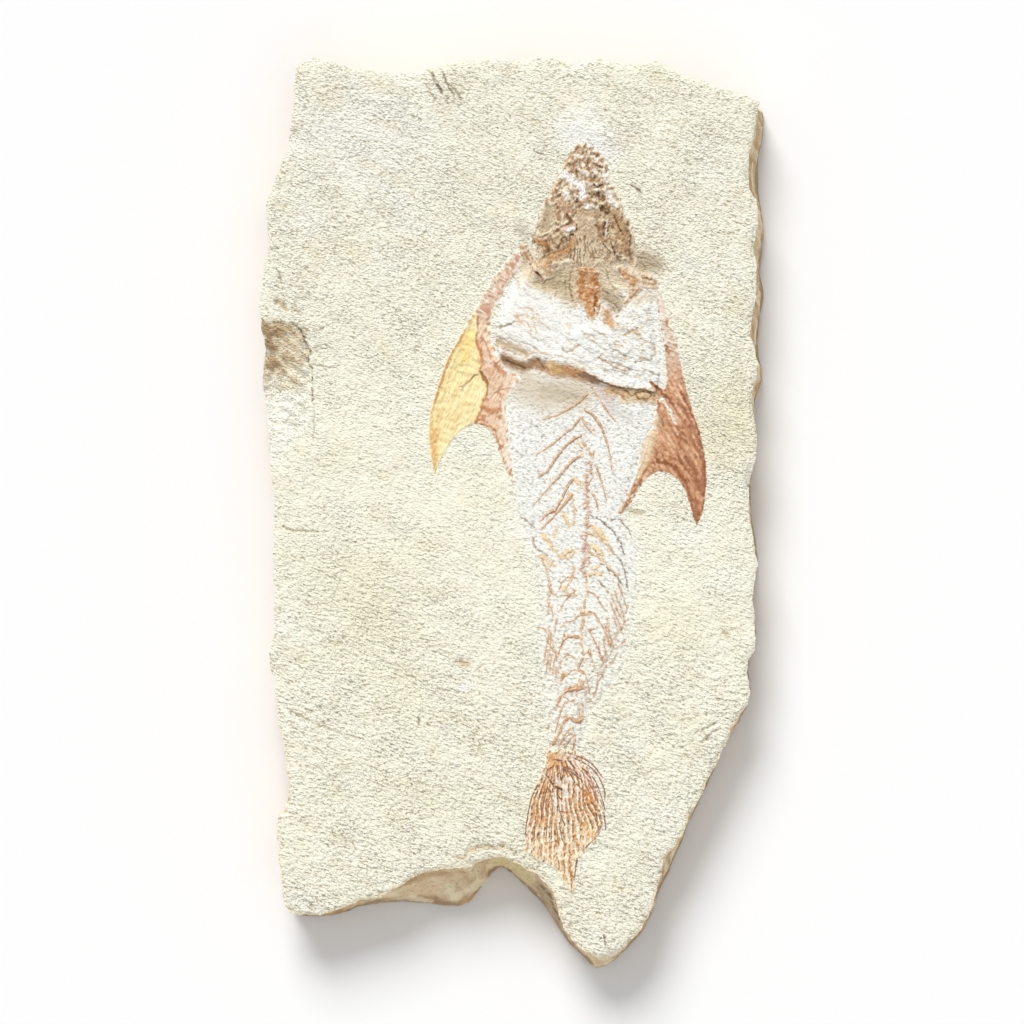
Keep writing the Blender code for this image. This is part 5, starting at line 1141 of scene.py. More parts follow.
RIGHT_FIN_FEATURES = [
    # The stem: pale, then pink and finely striated, with a brown line down its inner side.
    ([(29.4, 44), (30, 39.6)], 1.3, 0, (244, 230, 214), 0.8),
    ([(28.9, 45), (29.2, 42), (29.6, 38), (30.2, 34), (31, 32.6)], 0.26, 0.05, (156, 112, 80), 0.85),
    ([(30.4, 33.8), (31.6, 32.4)], 0.5, 0.10, (170, 120, 88), 0.8),
    ([(31.6, 30.6), (32, 28)], 0.9, 0, (228, 196, 166), 0.8),
    ([(33.4, 33), (34.4, 26.6), (35.8, 21.6)], 0.4, 0.08, (196, 146, 114), 0.7),
    ([(32.6, 37), (33, 34.4)], 0.5, 0, (206, 160, 132), 0.6),
    # The dark joint, and the white slit below it.
    ([(27.4, 26.8), (29, 25.4), (31, 23.4), (32, 22.2)], 0.45, 0.15, (138, 88, 56), 0.95),
    ([(29.2, 26.4), (30.6, 24.6)], 0.26, 0, (100, 64, 40), 0.8),
    ([(28.9, 23.4), (30.2, 22.8), (31.6, 20.6), (32.8, 18)], 0.55, -0.18, (255, 250, 244), 1),
    ([(28.7, 21.4), (29, 19.2)], 0.7, 0, (232, 196, 170), 0.7),
    ([(28.6, 18.7), (29, 18.1)], 0.55, 0.1, (124, 74, 50), 0.9),
    # The blade's fibres.
    ([(31.6, 22.4), (33.4, 19.8), (35.6, 16.4), (37.2, 12.6)], 0.30, 0.08, (176, 122, 90), 0.8),
    ([(33, 22.8), (35.2, 19.4), (37.2, 15), (38.2, 9.6), (38.2, 4)], 0.55, 0.08, (168, 112, 84), 0.8),
    ([(34.2, 24), (36.4, 19), (38.2, 13), (38.7, 7), (38.1, 0.8)], 0.34, 0.10, (150, 96, 68), 0.85),
    ([(30.4, 20.6), (32.2, 16.6), (34.6, 12.6), (36.4, 7.4), (36.8, 1)], 0.34, 0.08, (188, 132, 92), 0.7),
    ([(32, 17.8), (34.8, 17), (36.6, 13.6)], 0.5, 0.05, (180, 122, 88), 0.7),
    ([(29.8, 17.8), (31, 13.4), (33.4, 10.2), (35.4, 5.4)], 0.30, 0.08, (222, 170, 126), 0.7),
    ([(29.2, 16.6), (29.4, 13.2), (31.2, 10.6), (33.4, 8)], 0.26, 0.08, (224, 176, 132), 0.7),
    ([(28.8, 15), (27.6, 11.8), (26.6, 8.6)], 0.26, 0.08, (196, 146, 108), 0.7),
    ([(34.8, 11.4), (36.4, 9.2), (37.4, 5.4)], 0.8, 0, (150, 98, 70), 0.75),
    ([(29, 10.6), (31.2, 10.2), (33.2, 8.8), (34.6, 6.4)], 0.75, 0.08, (148, 92, 60), 0.9),
    ([(31.4, 11.4), (33.6, 10.8), (35.4, 8.6)], 0.5, 0.06, (160, 104, 70), 0.8),
    ([(34.8, 6.2), (35.8, 2.4), (36.8, -1.2)], 0.45, 0.05, (156, 102, 72), 0.85),
    ([(35.6, 7.4), (36.6, 3), (36.9, -0.6)], 0.3, 0.05, (206, 156, 120), 0.7),
    ([(36.9, 2.4), (37, -1.8)], 0.9, 0, (160, 106, 76), 0.7),
    # The trailing end: a tan spine whose ridge carries a painted highlight, with a painted shade line along
    # its right side.
    ([(28.2, 18.4), (26.8, 13.4), (25.2, 8.4)], 2.6, 0, (240, 220, 186), 0.9),
    ([(29.6, 13.6), (28, 10.6), (26.4, 8.4), (25, 5.6)], 0.34, 0.10, (190, 136, 96), 0.85),
    # Painted highlight on the ridge.
    ([(27.4, 15), (26, 10.8), (24.2, 6.2), (22.6, 2.4), (21.6, 0.4)], 0.26, 0.14, (250, 234, 206), 0.85),
    ([(26.8, 9.2), (25.4, 6.6), (23.8, 3.4), (22, 0.4)], 0.42, 0.12, (190, 142, 102), 0.9),
    # Painted shade on the ridge's right side.
    ([(26.2, 7.8), (24.6, 4.8), (22.2, 0.2)], 0.2, -0.05, (150, 104, 70), 0.8),
    ([(27.8, 9.6), (29.8, 9), (31.8, 8.8)], 0.4, 0.05, (210, 160, 118), 0.7),
]


def fin_sheet(outline, seed):
    """The sheet of a fin with its depth from the edge and two fine noises for its fibres."""
    bm, ring, x, y = laid(outline, FIN_STEP, seed)
    mottle = relief_noise(x, y, 0.8, 0.6, 60, seed + 1) + 0.6 * relief_noise(x, y, 0.42, 0.4, 60, seed + 2)
    return bm, ring, x, y, depth_in(x, y, outline), mottle


def finish_fin(name, bm, ring, x, y, depth, mottle, heights, tint, frayed, material):
    """Fades a fin into the stone along its edge, more so along its frayed side, and closes it below."""
    torn = 0.16 + 0.5 * soft((y - 30.0) / 8.0) + 0.7 * soft(1.6 - off_line(x, y, frayed) / 1.8)
    tint = mixed(face_tint(x, y), tint, soft((depth + torn * mottle) / (0.3 + torn)))
    tint = closed_below(bm, ring, heights, FIN_SKIRT, tint, CREAM)
    finish_piece(name, bm, tint, material, [name], 0.7)


bm, ring, x, y, depth, mottle = fin_sheet(LEFT_FIN, 90)
heights = skin(x, y) - SUNK + soft(depth / 0.5) * (FIN_LIFT + 0.03 * mottle)
yellow = soft((depth_in(x, y, YELLOW_VANE) + 0.25) / 0.5)
fibre = relief_noise(x, y, 7.0, 0.42, 64, 91) + 0.5 * relief_noise(x, y, 3.0, 0.3, 66, 92)
crossed = relief_noise(x, y, 1.5, 0.31, -36, 93) + 0.5 * relief_noise(x, y, 0.7, 0.4, -36, 94)
front = soft((y - 38.4) / 1.6)
cloud = relief_noise(x, y, 3.0, 2.0, 60, 95)
vane = mixed(mixed(PINK, PINK_DEEP, soft((0.6 * fibre + mottle + 0.8 * cloud - 0.1) / 1.0)), (248, 230, 210),
             soft((-0.2 - fibre - 0.5 * mottle - 0.5 * cloud) / 0.5) * 0.7)
band = mixed(mixed((230, 204, 182), (198, 156, 128), soft((crossed + 0.3 * mottle) / 0.6)), (250, 238, 226),
             soft((-0.2 - crossed) / 0.5))
sail = mixed(YELLOW, YELLOW_DEEP, soft((fibre + 0.3 * mottle) / 1.0) * 0.6)
sail = mixed(sail, (255, 248, 206), soft((-0.3 - fibre) / 0.6) * 0.7)
tint = np.where(front[:, None] > 0, mixed(vane, band, front), vane)
tint = mixed(tint, sail, yellow)
heights += 0.05 * fibre * (1 - front) + 0.09 * crossed * front
drawn(x, y, heights, tint, LEFT_FIN_FEATURES, 0.14, 0.6)
yellow_vane = mineral("yellow_vane", 0.8, (1.0, 0.4), 0.42, (0.82, 0.70, 0.54), 60)
frayed = [(-3.8, 34.6), (-1.4, 30.0), (1.8, 27.2), (-1.2, 22.2), (-0.6, 16.8), (0.6, 5.0)]
finish_fin("left_pectoral_fin", bm, ring, x, y, depth, mottle, heights, tint, frayed,
           yellow_vane)

bm, ring, x, y, depth, mottle = fin_sheet(RIGHT_FIN, 100)
heights = skin(x, y) - SUNK + soft(depth / 0.5) * (FIN_LIFT + 0.03 * mottle)
fibre = relief_noise(x, y, 3.4, 0.5, -62, 101) + 0.6 * relief_noise(x, y, 1.6, 0.34, -54, 102)
crossed = relief_noise(x, y, 1.7, 0.38, -28, 103) + 0.5 * relief_noise(x, y, 0.7, 0.4, -28, 104)
front = soft((y - 24.0) / 12.0)
deep = soft((22.0 - y) / 16.0) * soft((x - 25.0) / 8.0)
cloud = relief_noise(x, y, 3.4, 2.0, -60, 105)
blade = mixed(RED, (204, 150, 112), deep)
blade = mixed(blade, (142, 90, 62), soft((fibre + 0.7 * mottle + 0.5 * cloud) / 1.1) * 0.8)
chalky = soft((-0.1 - fibre - 0.6 * mottle - 0.4 * cloud) / 0.8)
blade = mixed(blade, (240, 204, 172), chalky * (1 - 0.4 * deep))
stem = mixed(mixed((234, 218, 196), (190, 152, 126), soft((crossed + 0.3 * mottle) / 0.6)), (252, 242, 236),
             soft((-0.2 - crossed) / 0.5))
tint = mixed(blade, stem, front)
heights += 0.06 * fibre * (1 - front) + 0.09 * crossed * front
drawn(x, y, heights, tint, RIGHT_FIN_FEATURES, 0.14, 0.6)
red_vane = mineral("red_vane", 0.8, (1.1, 0.36), 0.5, (0.74, 0.60, 0.50), -58)
frayed = [(28.0, 19.4), (26.6, 16.2), (24.8, 9.8), (22.6, 4.0)]
finish_fin("right_pectoral_fin", bm, ring, x, y, depth, mottle, heights, tint, frayed,
           red_vane)

# ======================================================================================================
# The backbone with its ribs and arches
# A thin column of crushed vertebrae, with long curved ribs in the belly, small yellow wedges at the vertebrae
# and hooped arches in the tail. They are fine bones, half sunk in the stone.
# ======================================================================================================

ROSE = (202, 158, 136)
WEDGE = (250, 220, 154)
ARCH = (200, 142, 94)


def curve_through(line, step):
    """A smooth curve through the line's points, at about even steps."""
    points = np.array(line, float)
    padded = np.vstack([2 * points[0] - points[1], points, 2 * points[-1] - points[-2]])
    pieces = []
    for a, b, c, d in zip(padded, padded[1:], padded[2:], padded[3:]):
        t = np.linspace(0, 1, max(2, int(np.hypot(*(c - b)) / step) + 1), endpoint=False)[:, None]
        pieces.append(0.5 * (2 * b + t * (c - a) + t ** 2 * (2 * a - 5 * b + 4 * c - d)
                             + t ** 3 * (3 * b - a - 3 * c + d)))
    return np.vstack(pieces + [points[-1:]])


def strand(parts, line, start_width, end_width, colour, rise=0.5, dust=0.7, sides=8):
    """Adds one fine bone or ray, half sunk in the stone: a tapered, worn rod along a line, rounded at both
    ends. Its dust stains the stone beside it."""
    path = curve_through(line, 0.2)
    count = len(path)
    share = np.linspace(0, 1, count)
    length = np.hypot(*np.diff(path, axis=0).T).sum()
    ends = np.sqrt(np.clip(np.minimum(share, 1 - share) * length / max(0.5 * start_width, 0.05), 0.04, 1))
    half = ((start_width + (end_width - start_width) * share) / 2 * ends)[:, None]
    along = np.gradient(path, axis=0)
    along /= np.linalg.norm(along, axis=1, keepdims=True)
    angle = 2 * math.pi * np.arange(sides) / sides
    x = path[:, :1] - along[:, 1:] * half * np.cos(angle)
    y = path[:, 1:] + along[:, :1] * half * np.cos(angle)
    worn = 0.40 * relief_noise(x, y, 0.9, seed=111) + 0.40 * relief_noise(x, y, 0.4, seed=113)
    x, y = x - along[:, 1:] * half * np.cos(angle) * worn, y + along[:, :1] * half * np.cos(angle) * worn
    lost = soft((relief_noise(path[:, 0], path[:, 1], 1.1, seed=114) - 0.1) / 0.4)[:, None]
    across = np.sin(angle) * (1 + worn) - 1.1 * lost * soft((dust - 0.4) / 0.4)
    z = skin(path[:, 0], path[:, 1])[:, None] + 0.04 + 2 * half * rise * across
    rings = np.stack([x, y, z], axis=2).tolist()
    bm = bmesh.new()
    ring = bmesh.ops.create_circle(bm, segments=sides, radius=1)["verts"]
    for vert, place in zip(ring, rings[0]):
        vert.co = place
    bm.faces.new(ring)
    verts = list(ring)
    for places in rings[1:]:
        ring = next_ring(bm, ring, places)
        verts += ring
    bm.faces.new(ring)
    for index, vert in enumerate(verts):
        vert.index = index
    bm.verts.sort()
    mesh = bpy.data.meshes.new("strand")
    bm.to_mesh(mesh)
    bm.free()
    x, y = x.ravel(), y.ravel()
    fleck = relief_noise(x, y, 0.7, seed=112) + 0.7 * relief_noise(x, y, 0.35, seed=115)
    # Darker along both sides of each bone and pale along its middle: partly the bone's own darker edge,
    # partly painted shade on its rounded sides.
    rim = np.tile(soft((abs(np.cos(angle)) - 0.3) / 0.7), count)
    tint = mixed(mixed(colour, (252, 234, 200), 0.6 * dust), (150, 108, 78), (1.3 - dust) * rim)
    tint = mixed(tint, (253, 240, 214), soft((fleck + 0.05) / 0.6) * (0.3 + 0.7 * dust))
    stain = (line, start_width / 2 + 0.25, 0.0, linear(mixed(colour, (248, 234, 210), 0.3)), dust)
    parts.append((mesh, tint, stain))


def gathered(parts):
    """One bmesh of all the strands, and its tint. Their colour runs into the stone beside them."""
    bm = bmesh.new()
    for mesh, _, _ in parts:
        bm.from_mesh(mesh)
        bpy.data.meshes.remove(mesh)
    for piece in (stone, fish_bed):
        dusted(piece, [stain for _, _, stain in parts])
    return bm, np.vstack([tint for _, tint, _ in parts])


def dusted(piece, stains):
    """Lets the colour of fine bones run into a finished piece of stone beside them."""
    layer = piece.data.color_attributes["tint"].data
    places, colours = np.empty(len(layer) * 3), np.empty(len(layer) * 4)
    piece.data.vertices.foreach_get("co", places)
    layer.foreach_get("color", colours)
    x, y, _ = places.reshape(-1, 3).T / MM
    colours = colours.reshape(-1, 4)
    tint = colours[:, :3].copy()
    drawn(x, y, np.zeros(len(x)), tint, stains, 0.2, 0.8)
    colours[:, :3] = tint
    layer.foreach_set("color", colours.ravel())


bones = []
# Ribs: line, width at the root, width at the tip.
for line, start, end in [
    ([(15.2, 24.2), (13.6, 22.6), (11.6, 21.2), (9, 19.8), (6.2, 18.8)], 0.40, 0.16),
    ([(13.6, 19.2), (12, 17.2), (10, 15.6), (7.6, 13.6), (4.8, 11.8)], 0.32, 0.18),
    ([(14, 15.8), (12.4, 15), (10.2, 13), (8.6, 11), (7.2, 8.8), (5.2, 7.4)], 0.40, 0.30),
    ([(13.8, 11.6), (12, 10.6), (10, 8.2), (8, 6), (5.6, 3.2), (4.2, 1.8)], 0.44, 0.12),
    ([(12.4, 7.2), (11.2, 5.6), (9.8, 2.8), (8.6, 0.8)], 0.40, 0.30),
    ([(8.8, 0.9), (7.2, 0.2), (5.8, -1.4)], 0.62, 0.20),
    ([(12.2, 4), (10.6, 2.2), (8.6, -0.2), (5.8, -3.2)], 0.42, 0.20),
    ([(15.8, 25.6), (16.4, 24.8), (17, 23.4)], 0.30, 0.16),
    ([(17.9, 22.4), (19, 20.6), (20.8, 18.4)], 0.36, 0.14),
    ([(14.4, 21), (16, 20), (17.6, 17.8), (18.8, 14.8), (19.6, 11.8), (20, 8.8)], 0.46, 0.14),
    ([(16.8, 9.8), (17.8, 6.8), (18.6, 3.8), (18.9, 2.6)], 0.34, 0.14),
    ([(16, 4.2), (16.8, 2.8), (17.2, 0.8)], 0.36, 0.20),
    ([(13.4, 27.2), (15, 26.2)], 0.42, 0.20),
]:
    strand(bones, line, start * 1.3, end * 1.3, (222, 178, 138), dust=0.5)
# Wedges of yellow bone beside the vertebrae, each with its thin brown spine.
for line, start, end, colour in [
    ([(12.6, 7), (13.8, 5.6)], 1.2, 0.6, (252, 232, 176)),
    ([(11.9, 4), (10.6, 2.6)], 0.9, 0.5, (246, 206, 134)),
    ([(10, 0.2), (10.9, -1), (11.4, -2.6)], 1, 0.5, (246, 212, 146)),
    ([(8.9, -2.8), (8.3, -4.8)], 0.7, 0.4, (240, 206, 150)),
    ([(6.2, -4.2), (7.6, -6), (8.8, -7.8)], 1, 0.4, (246, 206, 134)),
    ([(10, -8.4), (11.2, -7.4), (12.4, -7.2)], 1.3, 0.7, (238, 190, 120)),
    ([(5.8, -8.4), (7, -9.4), (8.4, -10.2)], 1.3, 0.6, (228, 182, 116)),
    ([(16, -2.6), (17.4, -3.6), (18.6, -5.2)], 1.7, 0.8, (250, 212, 146)),
    ([(16.2, -6.4), (17.4, -7.4), (18.2, -8.4)], 1.4, 0.8, (250, 224, 158)),
    ([(16, -11), (17.4, -10.5)], 0.7, 0.5, (242, 196, 128)),
    ([(10, -14.6), (10.9, -15.4)], 1.1, 0.8, (250, 234, 184)),
    ([(15, -3.6), (16.8, -4.5), (18.8, -6), (20.2, -7.8)], 0.42, 0.14, (206, 144, 94)),
    ([(15.2, -7.4), (17, -8.4), (18.6, -9.8), (21.2, -12.4)], 0.40, 0.14, (196, 134, 90)),
    ([(15.3, -12.3), (16.8, -11.9), (18, -12.3)], 0.55, 0.35, (222, 160, 100)),
    ([(7.4, -5.2), (8.8, -7.6), (9.8, -8.8)], 0.26, 0.16, (196, 146, 104)),
    ([(9.6, -9), (11.4, -8.8), (12.4, -7.8)], 0.26, 0.18, (190, 136, 94)),
    ([(5.8, -9.2), (6.8, -10.4), (7.4, -12.2)], 0.26, 0.14, (190, 140, 96)),
    ([(12, 3.2), (12.3, 1.6), (13, 0.6)], 0.28, 0.18, (206, 152, 112)),
    ([(12.4, 1.2), (12.6, -1), (12.2, -2.2)], 0.32, 0.18, (224, 184, 146)),
    ([(12.4, -10.4), (12.2, -12.4), (11, -14.6)], 0.34, 0.2, (200, 144, 106)),
]:
    strand(bones, line, start, end, mixed(colour, (242, 220, 186), 0.45), rise=0.16 if start > 0.6 else 0.5,
           dust=0.95)
# The column: knots of crushed vertebrae in the belly, then a thin rod with a bar at each arch.
column_noise = np.random.default_rng(31)
for height in np.arange(10.0, -13.0, -0.8):
    middle = 15.2 + (height - 10.0) * 0.022 + column_noise.uniform(-0.25, 0.25)
    for _ in range(2):
        turn = column_noise.uniform(0, math.pi)
        reach = column_noise.uniform(0.35, 0.8)
        at_x, at_y = middle + column_noise.uniform(-0.5, 0.5), height + column_noise.uniform(-0.4, 0.4)
        colour = mixed(ROSE, (240, 214, 196), column_noise.uniform(-0.2, 0.8))
        bent = turn + 0.9
        strand(bones, [
            (at_x - reach * math.cos(turn), at_y - reach * math.sin(turn)), (at_x, at_y),
            (at_x + reach * math.cos(bent), at_y + reach * math.sin(bent)),
        ], 0.34, 0.2, colour, dust=0.6)
for line, start, end, colour in [
    ([(13.8, 19.4), (14.8, 17.6), (16, 16.2)], 0.42, 0.3, ROSE),
    ([(13.4, 17.8), (14.6, 17)], 0.34, 0.2, (196, 146, 118)),
    ([(14, 18.8), (15.2, 18.2)], 0.3, 0.2, (226, 190, 168)),
    ([(15.6, 17.2), (16.6, 16.8)], 0.34, 0.2, (196, 146, 118)),
    ([(14.2, 14.4), (15.2, 12.8), (16.2, 11.4)], 0.72, 0.5, (206, 146, 98)),
    ([(13, 14.4), (14.2, 13)], 0.4, 0.3, WEDGE),
    ([(13.6, 12.6), (14.2, 11.2)], 0.4, 0.3, (246, 214, 160)), ([(16.4, 12.6), (16, 11)], 0.3, 0.2, ROSE),
    ([(14.8, -12.8), (14.9, -15.2), (14.6, -17.4), (14.3, -20)], 0.44, 0.36, (222, 168, 120)),
    ([(12.8, -20.5), (14, -20.2), (15.6, -20)], 0.40, 0.30, (190, 124, 78)),
    ([(13.6, -18.6), (14, -20)], 0.8, 0.9, (232, 186, 132)),
    ([(14.2, -20.8), (14.2, -22), (13.8, -23.4), (13.9, -25.2)], 0.62, 0.46, (216, 164, 122)),
    ([(13.6, -25.4), (14.1, -27), (14.2, -28.4)], 0.30, 0.26, (216, 176, 144)),
    ([(14.2, -28.6), (13.4, -30.2), (13.2, -31.6)], 0.50, 0.40, (206, 150, 110)),
    ([(13.6, -31.4), (14.4, -32)], 0.5, 0.3, (200, 144, 104)),
    ([(13.6, -33.2), (13.4, -35)], 0.9, 0.7, (232, 186, 140)),
    ([(14.4, -33.6), (13, -35.6), (12.8, -36.4)], 0.42, 0.3, (196, 132, 88)),
    ([(13.4, -38), (13.5, -40.6)], 0.20, 0.18, (196, 150, 112)),
    ([(14.1, -37.6), (14.2, -40.4)], 0.20, 0.18, (196, 150, 112)),
    ([(14.8, -35.2), (14.8, -37.4), (16, -37.4)], 0.26, 0.18, (190, 146, 112)),
    ([(12.8, -41), (13.6, -41.8), (14.2, -40.4)], 0.7, 0.4, (186, 118, 68)),
]:
    strand(bones, line, start * 0.9, end * 0.9, mixed(colour, (230, 200, 170), 0.4),
           rise=0.3 if start > 0.6 else 0.5)
# Arches of the tail.
for line, start, end in [
    ([(15, -19.6), (16.2, -19.8), (17.4, -21.2), (18.6, -23.6), (19.4, -26.2)], 0.60, 0.18),
    ([(15, -15.4), (16.6, -16.2), (17.6, -17.8), (18.6, -19.4)], 0.50, 0.16),
    ([(15.4, -23.2), (16, -24.4), (17.4, -27.2), (18, -29)], 0.34, 0.18),
    ([(15.4, -23.2), (16.6, -22.9)], 0.6, 0.4),
    ([(14.2, -28.4), (15.4, -27.6), (16.2, -29.6), (16.8, -31)], 0.34, 0.18),
    ([(15.4, -27), (15.6, -28.4)], 0.7, 0.5),
    ([(14.8, -32.4), (15.2, -34.2), (15.5, -36.2)], 0.26, 0.16),
    ([(12.6, -15.4), (11.6, -16.2), (10.6, -17.6), (9.4, -19.6)], 0.55, 0.16),
    ([(9.6, -16.4), (11.4, -16.2), (13, -16.6)], 0.34, 0.2),
    ([(12.8, -12.8), (11.2, -12.6), (10, -13.8), (9.4, -15.2)], 0.34, 0.18),
    ([(13, -20.8), (12, -21.4), (10.6, -21.6), (9.8, -22.8)], 0.34, 0.18),
    ([(13.4, -24.8), (12, -24.4), (10.6, -24.9), (9.8, -26.4), (9.2, -28.4)], 0.70, 0.16),
    ([(10.4, -23.8), (10.6, -25.2)], 0.5, 0.4),
    ([(12.6, -28.8), (11.2, -28.2), (10, -29.2), (9, -31.8)], 0.42, 0.16),
    ([(14.4, -31.6), (12.4, -31.2), (10.8, -32.2), (9.8, -33.4)], 0.50, 0.50),
    ([(10.6, -31.8), (9.8, -33.2)], 1.1, 0.8),
    ([(14.4, -34.8), (12.6, -35), (10.8, -35.4), (9.6, -36.8), (8.8, -38.9)], 1, 0.30),
    ([(12.6, -34.4), (11.2, -34.8)], 0.9, 0.6),
    ([(12.6, -37.2), (10.8, -37.6), (9.8, -39.4), (9.2, -41.6), (8.6, -43.8)], 0.42, 0.26),
    ([(14.2, -40.6), (13, -41.5), (11.6, -40.8), (10.4, -41.6), (9.6, -43.6), (8.3, -46.2)], 0.80, 0.30),
    ([(10.2, -40.6), (11, -40.2)], 0.5, 0.3),
    ([(12.4, -42.6), (11, -43.6), (9.8, -45.6)], 0.40, 0.30),
    ([(12, -43.8), (10.8, -44.6), (9.2, -46.4)], 0.34, 0.26),
    ([(12.6, -44), (11.4, -45.4), (10.4, -46.8)], 0.40, 0.30),
    ([(12.7, -44.4), (12.4, -46.2), (12, -47.4)], 0.44, 0.40),
    ([(9, -44.6), (8, -46.4)], 0.50, 0.30),
]:
    strand(bones, line, start * (1.0 if start > 0.6 else 0.7), end * 0.8, ARCH, rise=0.3, dust=0.6)
bm, tint = gathered(bones)
spine_bone = mineral("spine_bone", 0.85, (0.5, 0.4), 0.30, (0.76, 0.68, 0.60), 0)
finish_piece("backbone", bm, tint, spine_bone, ["backbone"])

# ======================================================================================================
# The small fins of the tail half
# Two frayed fringes of short, thin rays, one down each side.
# ======================================================================================================

FRINGE = (198, 146, 104)
fringe_bone = mineral("fringe_bone", 0.85, (0.5, 0.4), 0.30, (0.76, 0.68, 0.60), 0)


def fringe(name, lines):
    """One frayed fringe. Each ray has its line, and its width at the root and at the tip."""
    rays = []
    for line, start, end in lines:
        strand(rays, line, start * 0.7, end * 0.8, FRINGE)
    bm, tint = gathered(rays)
    finish_piece(name, bm, tint, fringe_bone, [name])


fringe("dorsal_fin", [
    ([(21.2, -13.8), (22.2, -16.6), (23, -18.8)], 0.30, 0.20),
    ([(23.2, -18.4), (22.6, -20), (22.2, -21)], 0.30, 0.18),
    ([(20.4, -15.2), (21.4, -17.8), (22.4, -20.4)], 0.34, 0.20),
    ([(20, -16.2), (21, -19.2), (21.8, -20.8)], 0.22, 0.16),
    ([(19.6, -17.6), (20.6, -20), (21.6, -22.2)], 0.26, 0.18),
    ([(20.2, -20.6), (21, -22.6)], 0.28, 0.18),
    ([(22.6, -21.2), (21.8, -23.2), (20.6, -24.8)], 0.34, 0.2),
    ([(19, -20.8), (19.4, -23.4), (20.2, -26.2)], 0.44, 0.22),
    ([(18.6, -22.4), (19.2, -24.6), (19.6, -26.4)], 0.24, 0.16),
    ([(19.4, -25.6), (20.6, -26.8)], 0.5, 0.3),
    ([(18.3, -24.6), (18.5, -26.6), (18.9, -28.4)], 0.36, 0.18),
    ([(17.4, -26), (17.6, -28.6), (19, -29.6)], 0.28, 0.18),
    ([(20.2, -27.2), (18.8, -29.2), (17.6, -30.8)], 0.28, 0.16),
    ([(21.2, -27.6), (19.8, -30)], 0.22, 0.14),
    ([(22.6, -25.2), (21.2, -26.6)], 0.36, 0.2),
    ([(18.2, -32), (17.2, -33.6), (16.6, -35.6)], 0.34, 0.18),
    ([(16.8, -31.6), (18.2, -32.2)], 0.46, 0.3),
    ([(17.2, -34), (16.2, -36.4)], 0.24, 0.14),
    ([(21.8, -22.6), (22.4, -24.6)], 0.2, 0.14),
    ([(18.9, -30.2), (18, -31.8)], 0.26, 0.16),
])
fringe("anal_fin", [
    ([(7.2, -12.8), (7.6, -15.2), (7.4, -17.4), (7.3, -19.8)], 0.44, 0.2),
    ([(7.6, -15), (8.6, -16.6)], 0.4, 0.2),
    ([(7.9, -18.4), (8.2, -21.4)], 0.2, 0.14),
    ([(7.4, -22.6), (7.2, -25.4), (6.6, -28.4)], 0.34, 0.16),
    ([(7.8, -23.6), (7.6, -26.6), (7, -30)], 0.28, 0.16),
    ([(8, -25), (8.4, -27.6), (9, -29.6)], 0.34, 0.2),
    ([(8.6, -27.2), (8.4, -29.6), (8.2, -32)], 0.28, 0.16),
    ([(6.8, -27.4), (6.4, -29.6)], 0.28, 0.16),
    ([(7.8, -28.4), (7.6, -31.4)], 0.26, 0.14),
    ([(6.6, -24), (7.6, -26.4), (8.8, -28)], 0.2, 0.14),
    ([(8.8, -21), (8.6, -24)], 0.18, 0.12),
    ([(7.2, -29.4), (6.8, -31.6)], 0.22, 0.14),
    ([(8.8, -30.4), (8.8, -33)], 0.2, 0.12),
    ([(5.8, -22.6), (6.8, -23.4)], 0.24, 0.14),
])

# ======================================================================================================
# The tail fin
# A folded fan of many fine rays: orange brown, chalky between them, with dark separate rays along its right
# side and a ragged point at its end.
# ======================================================================================================

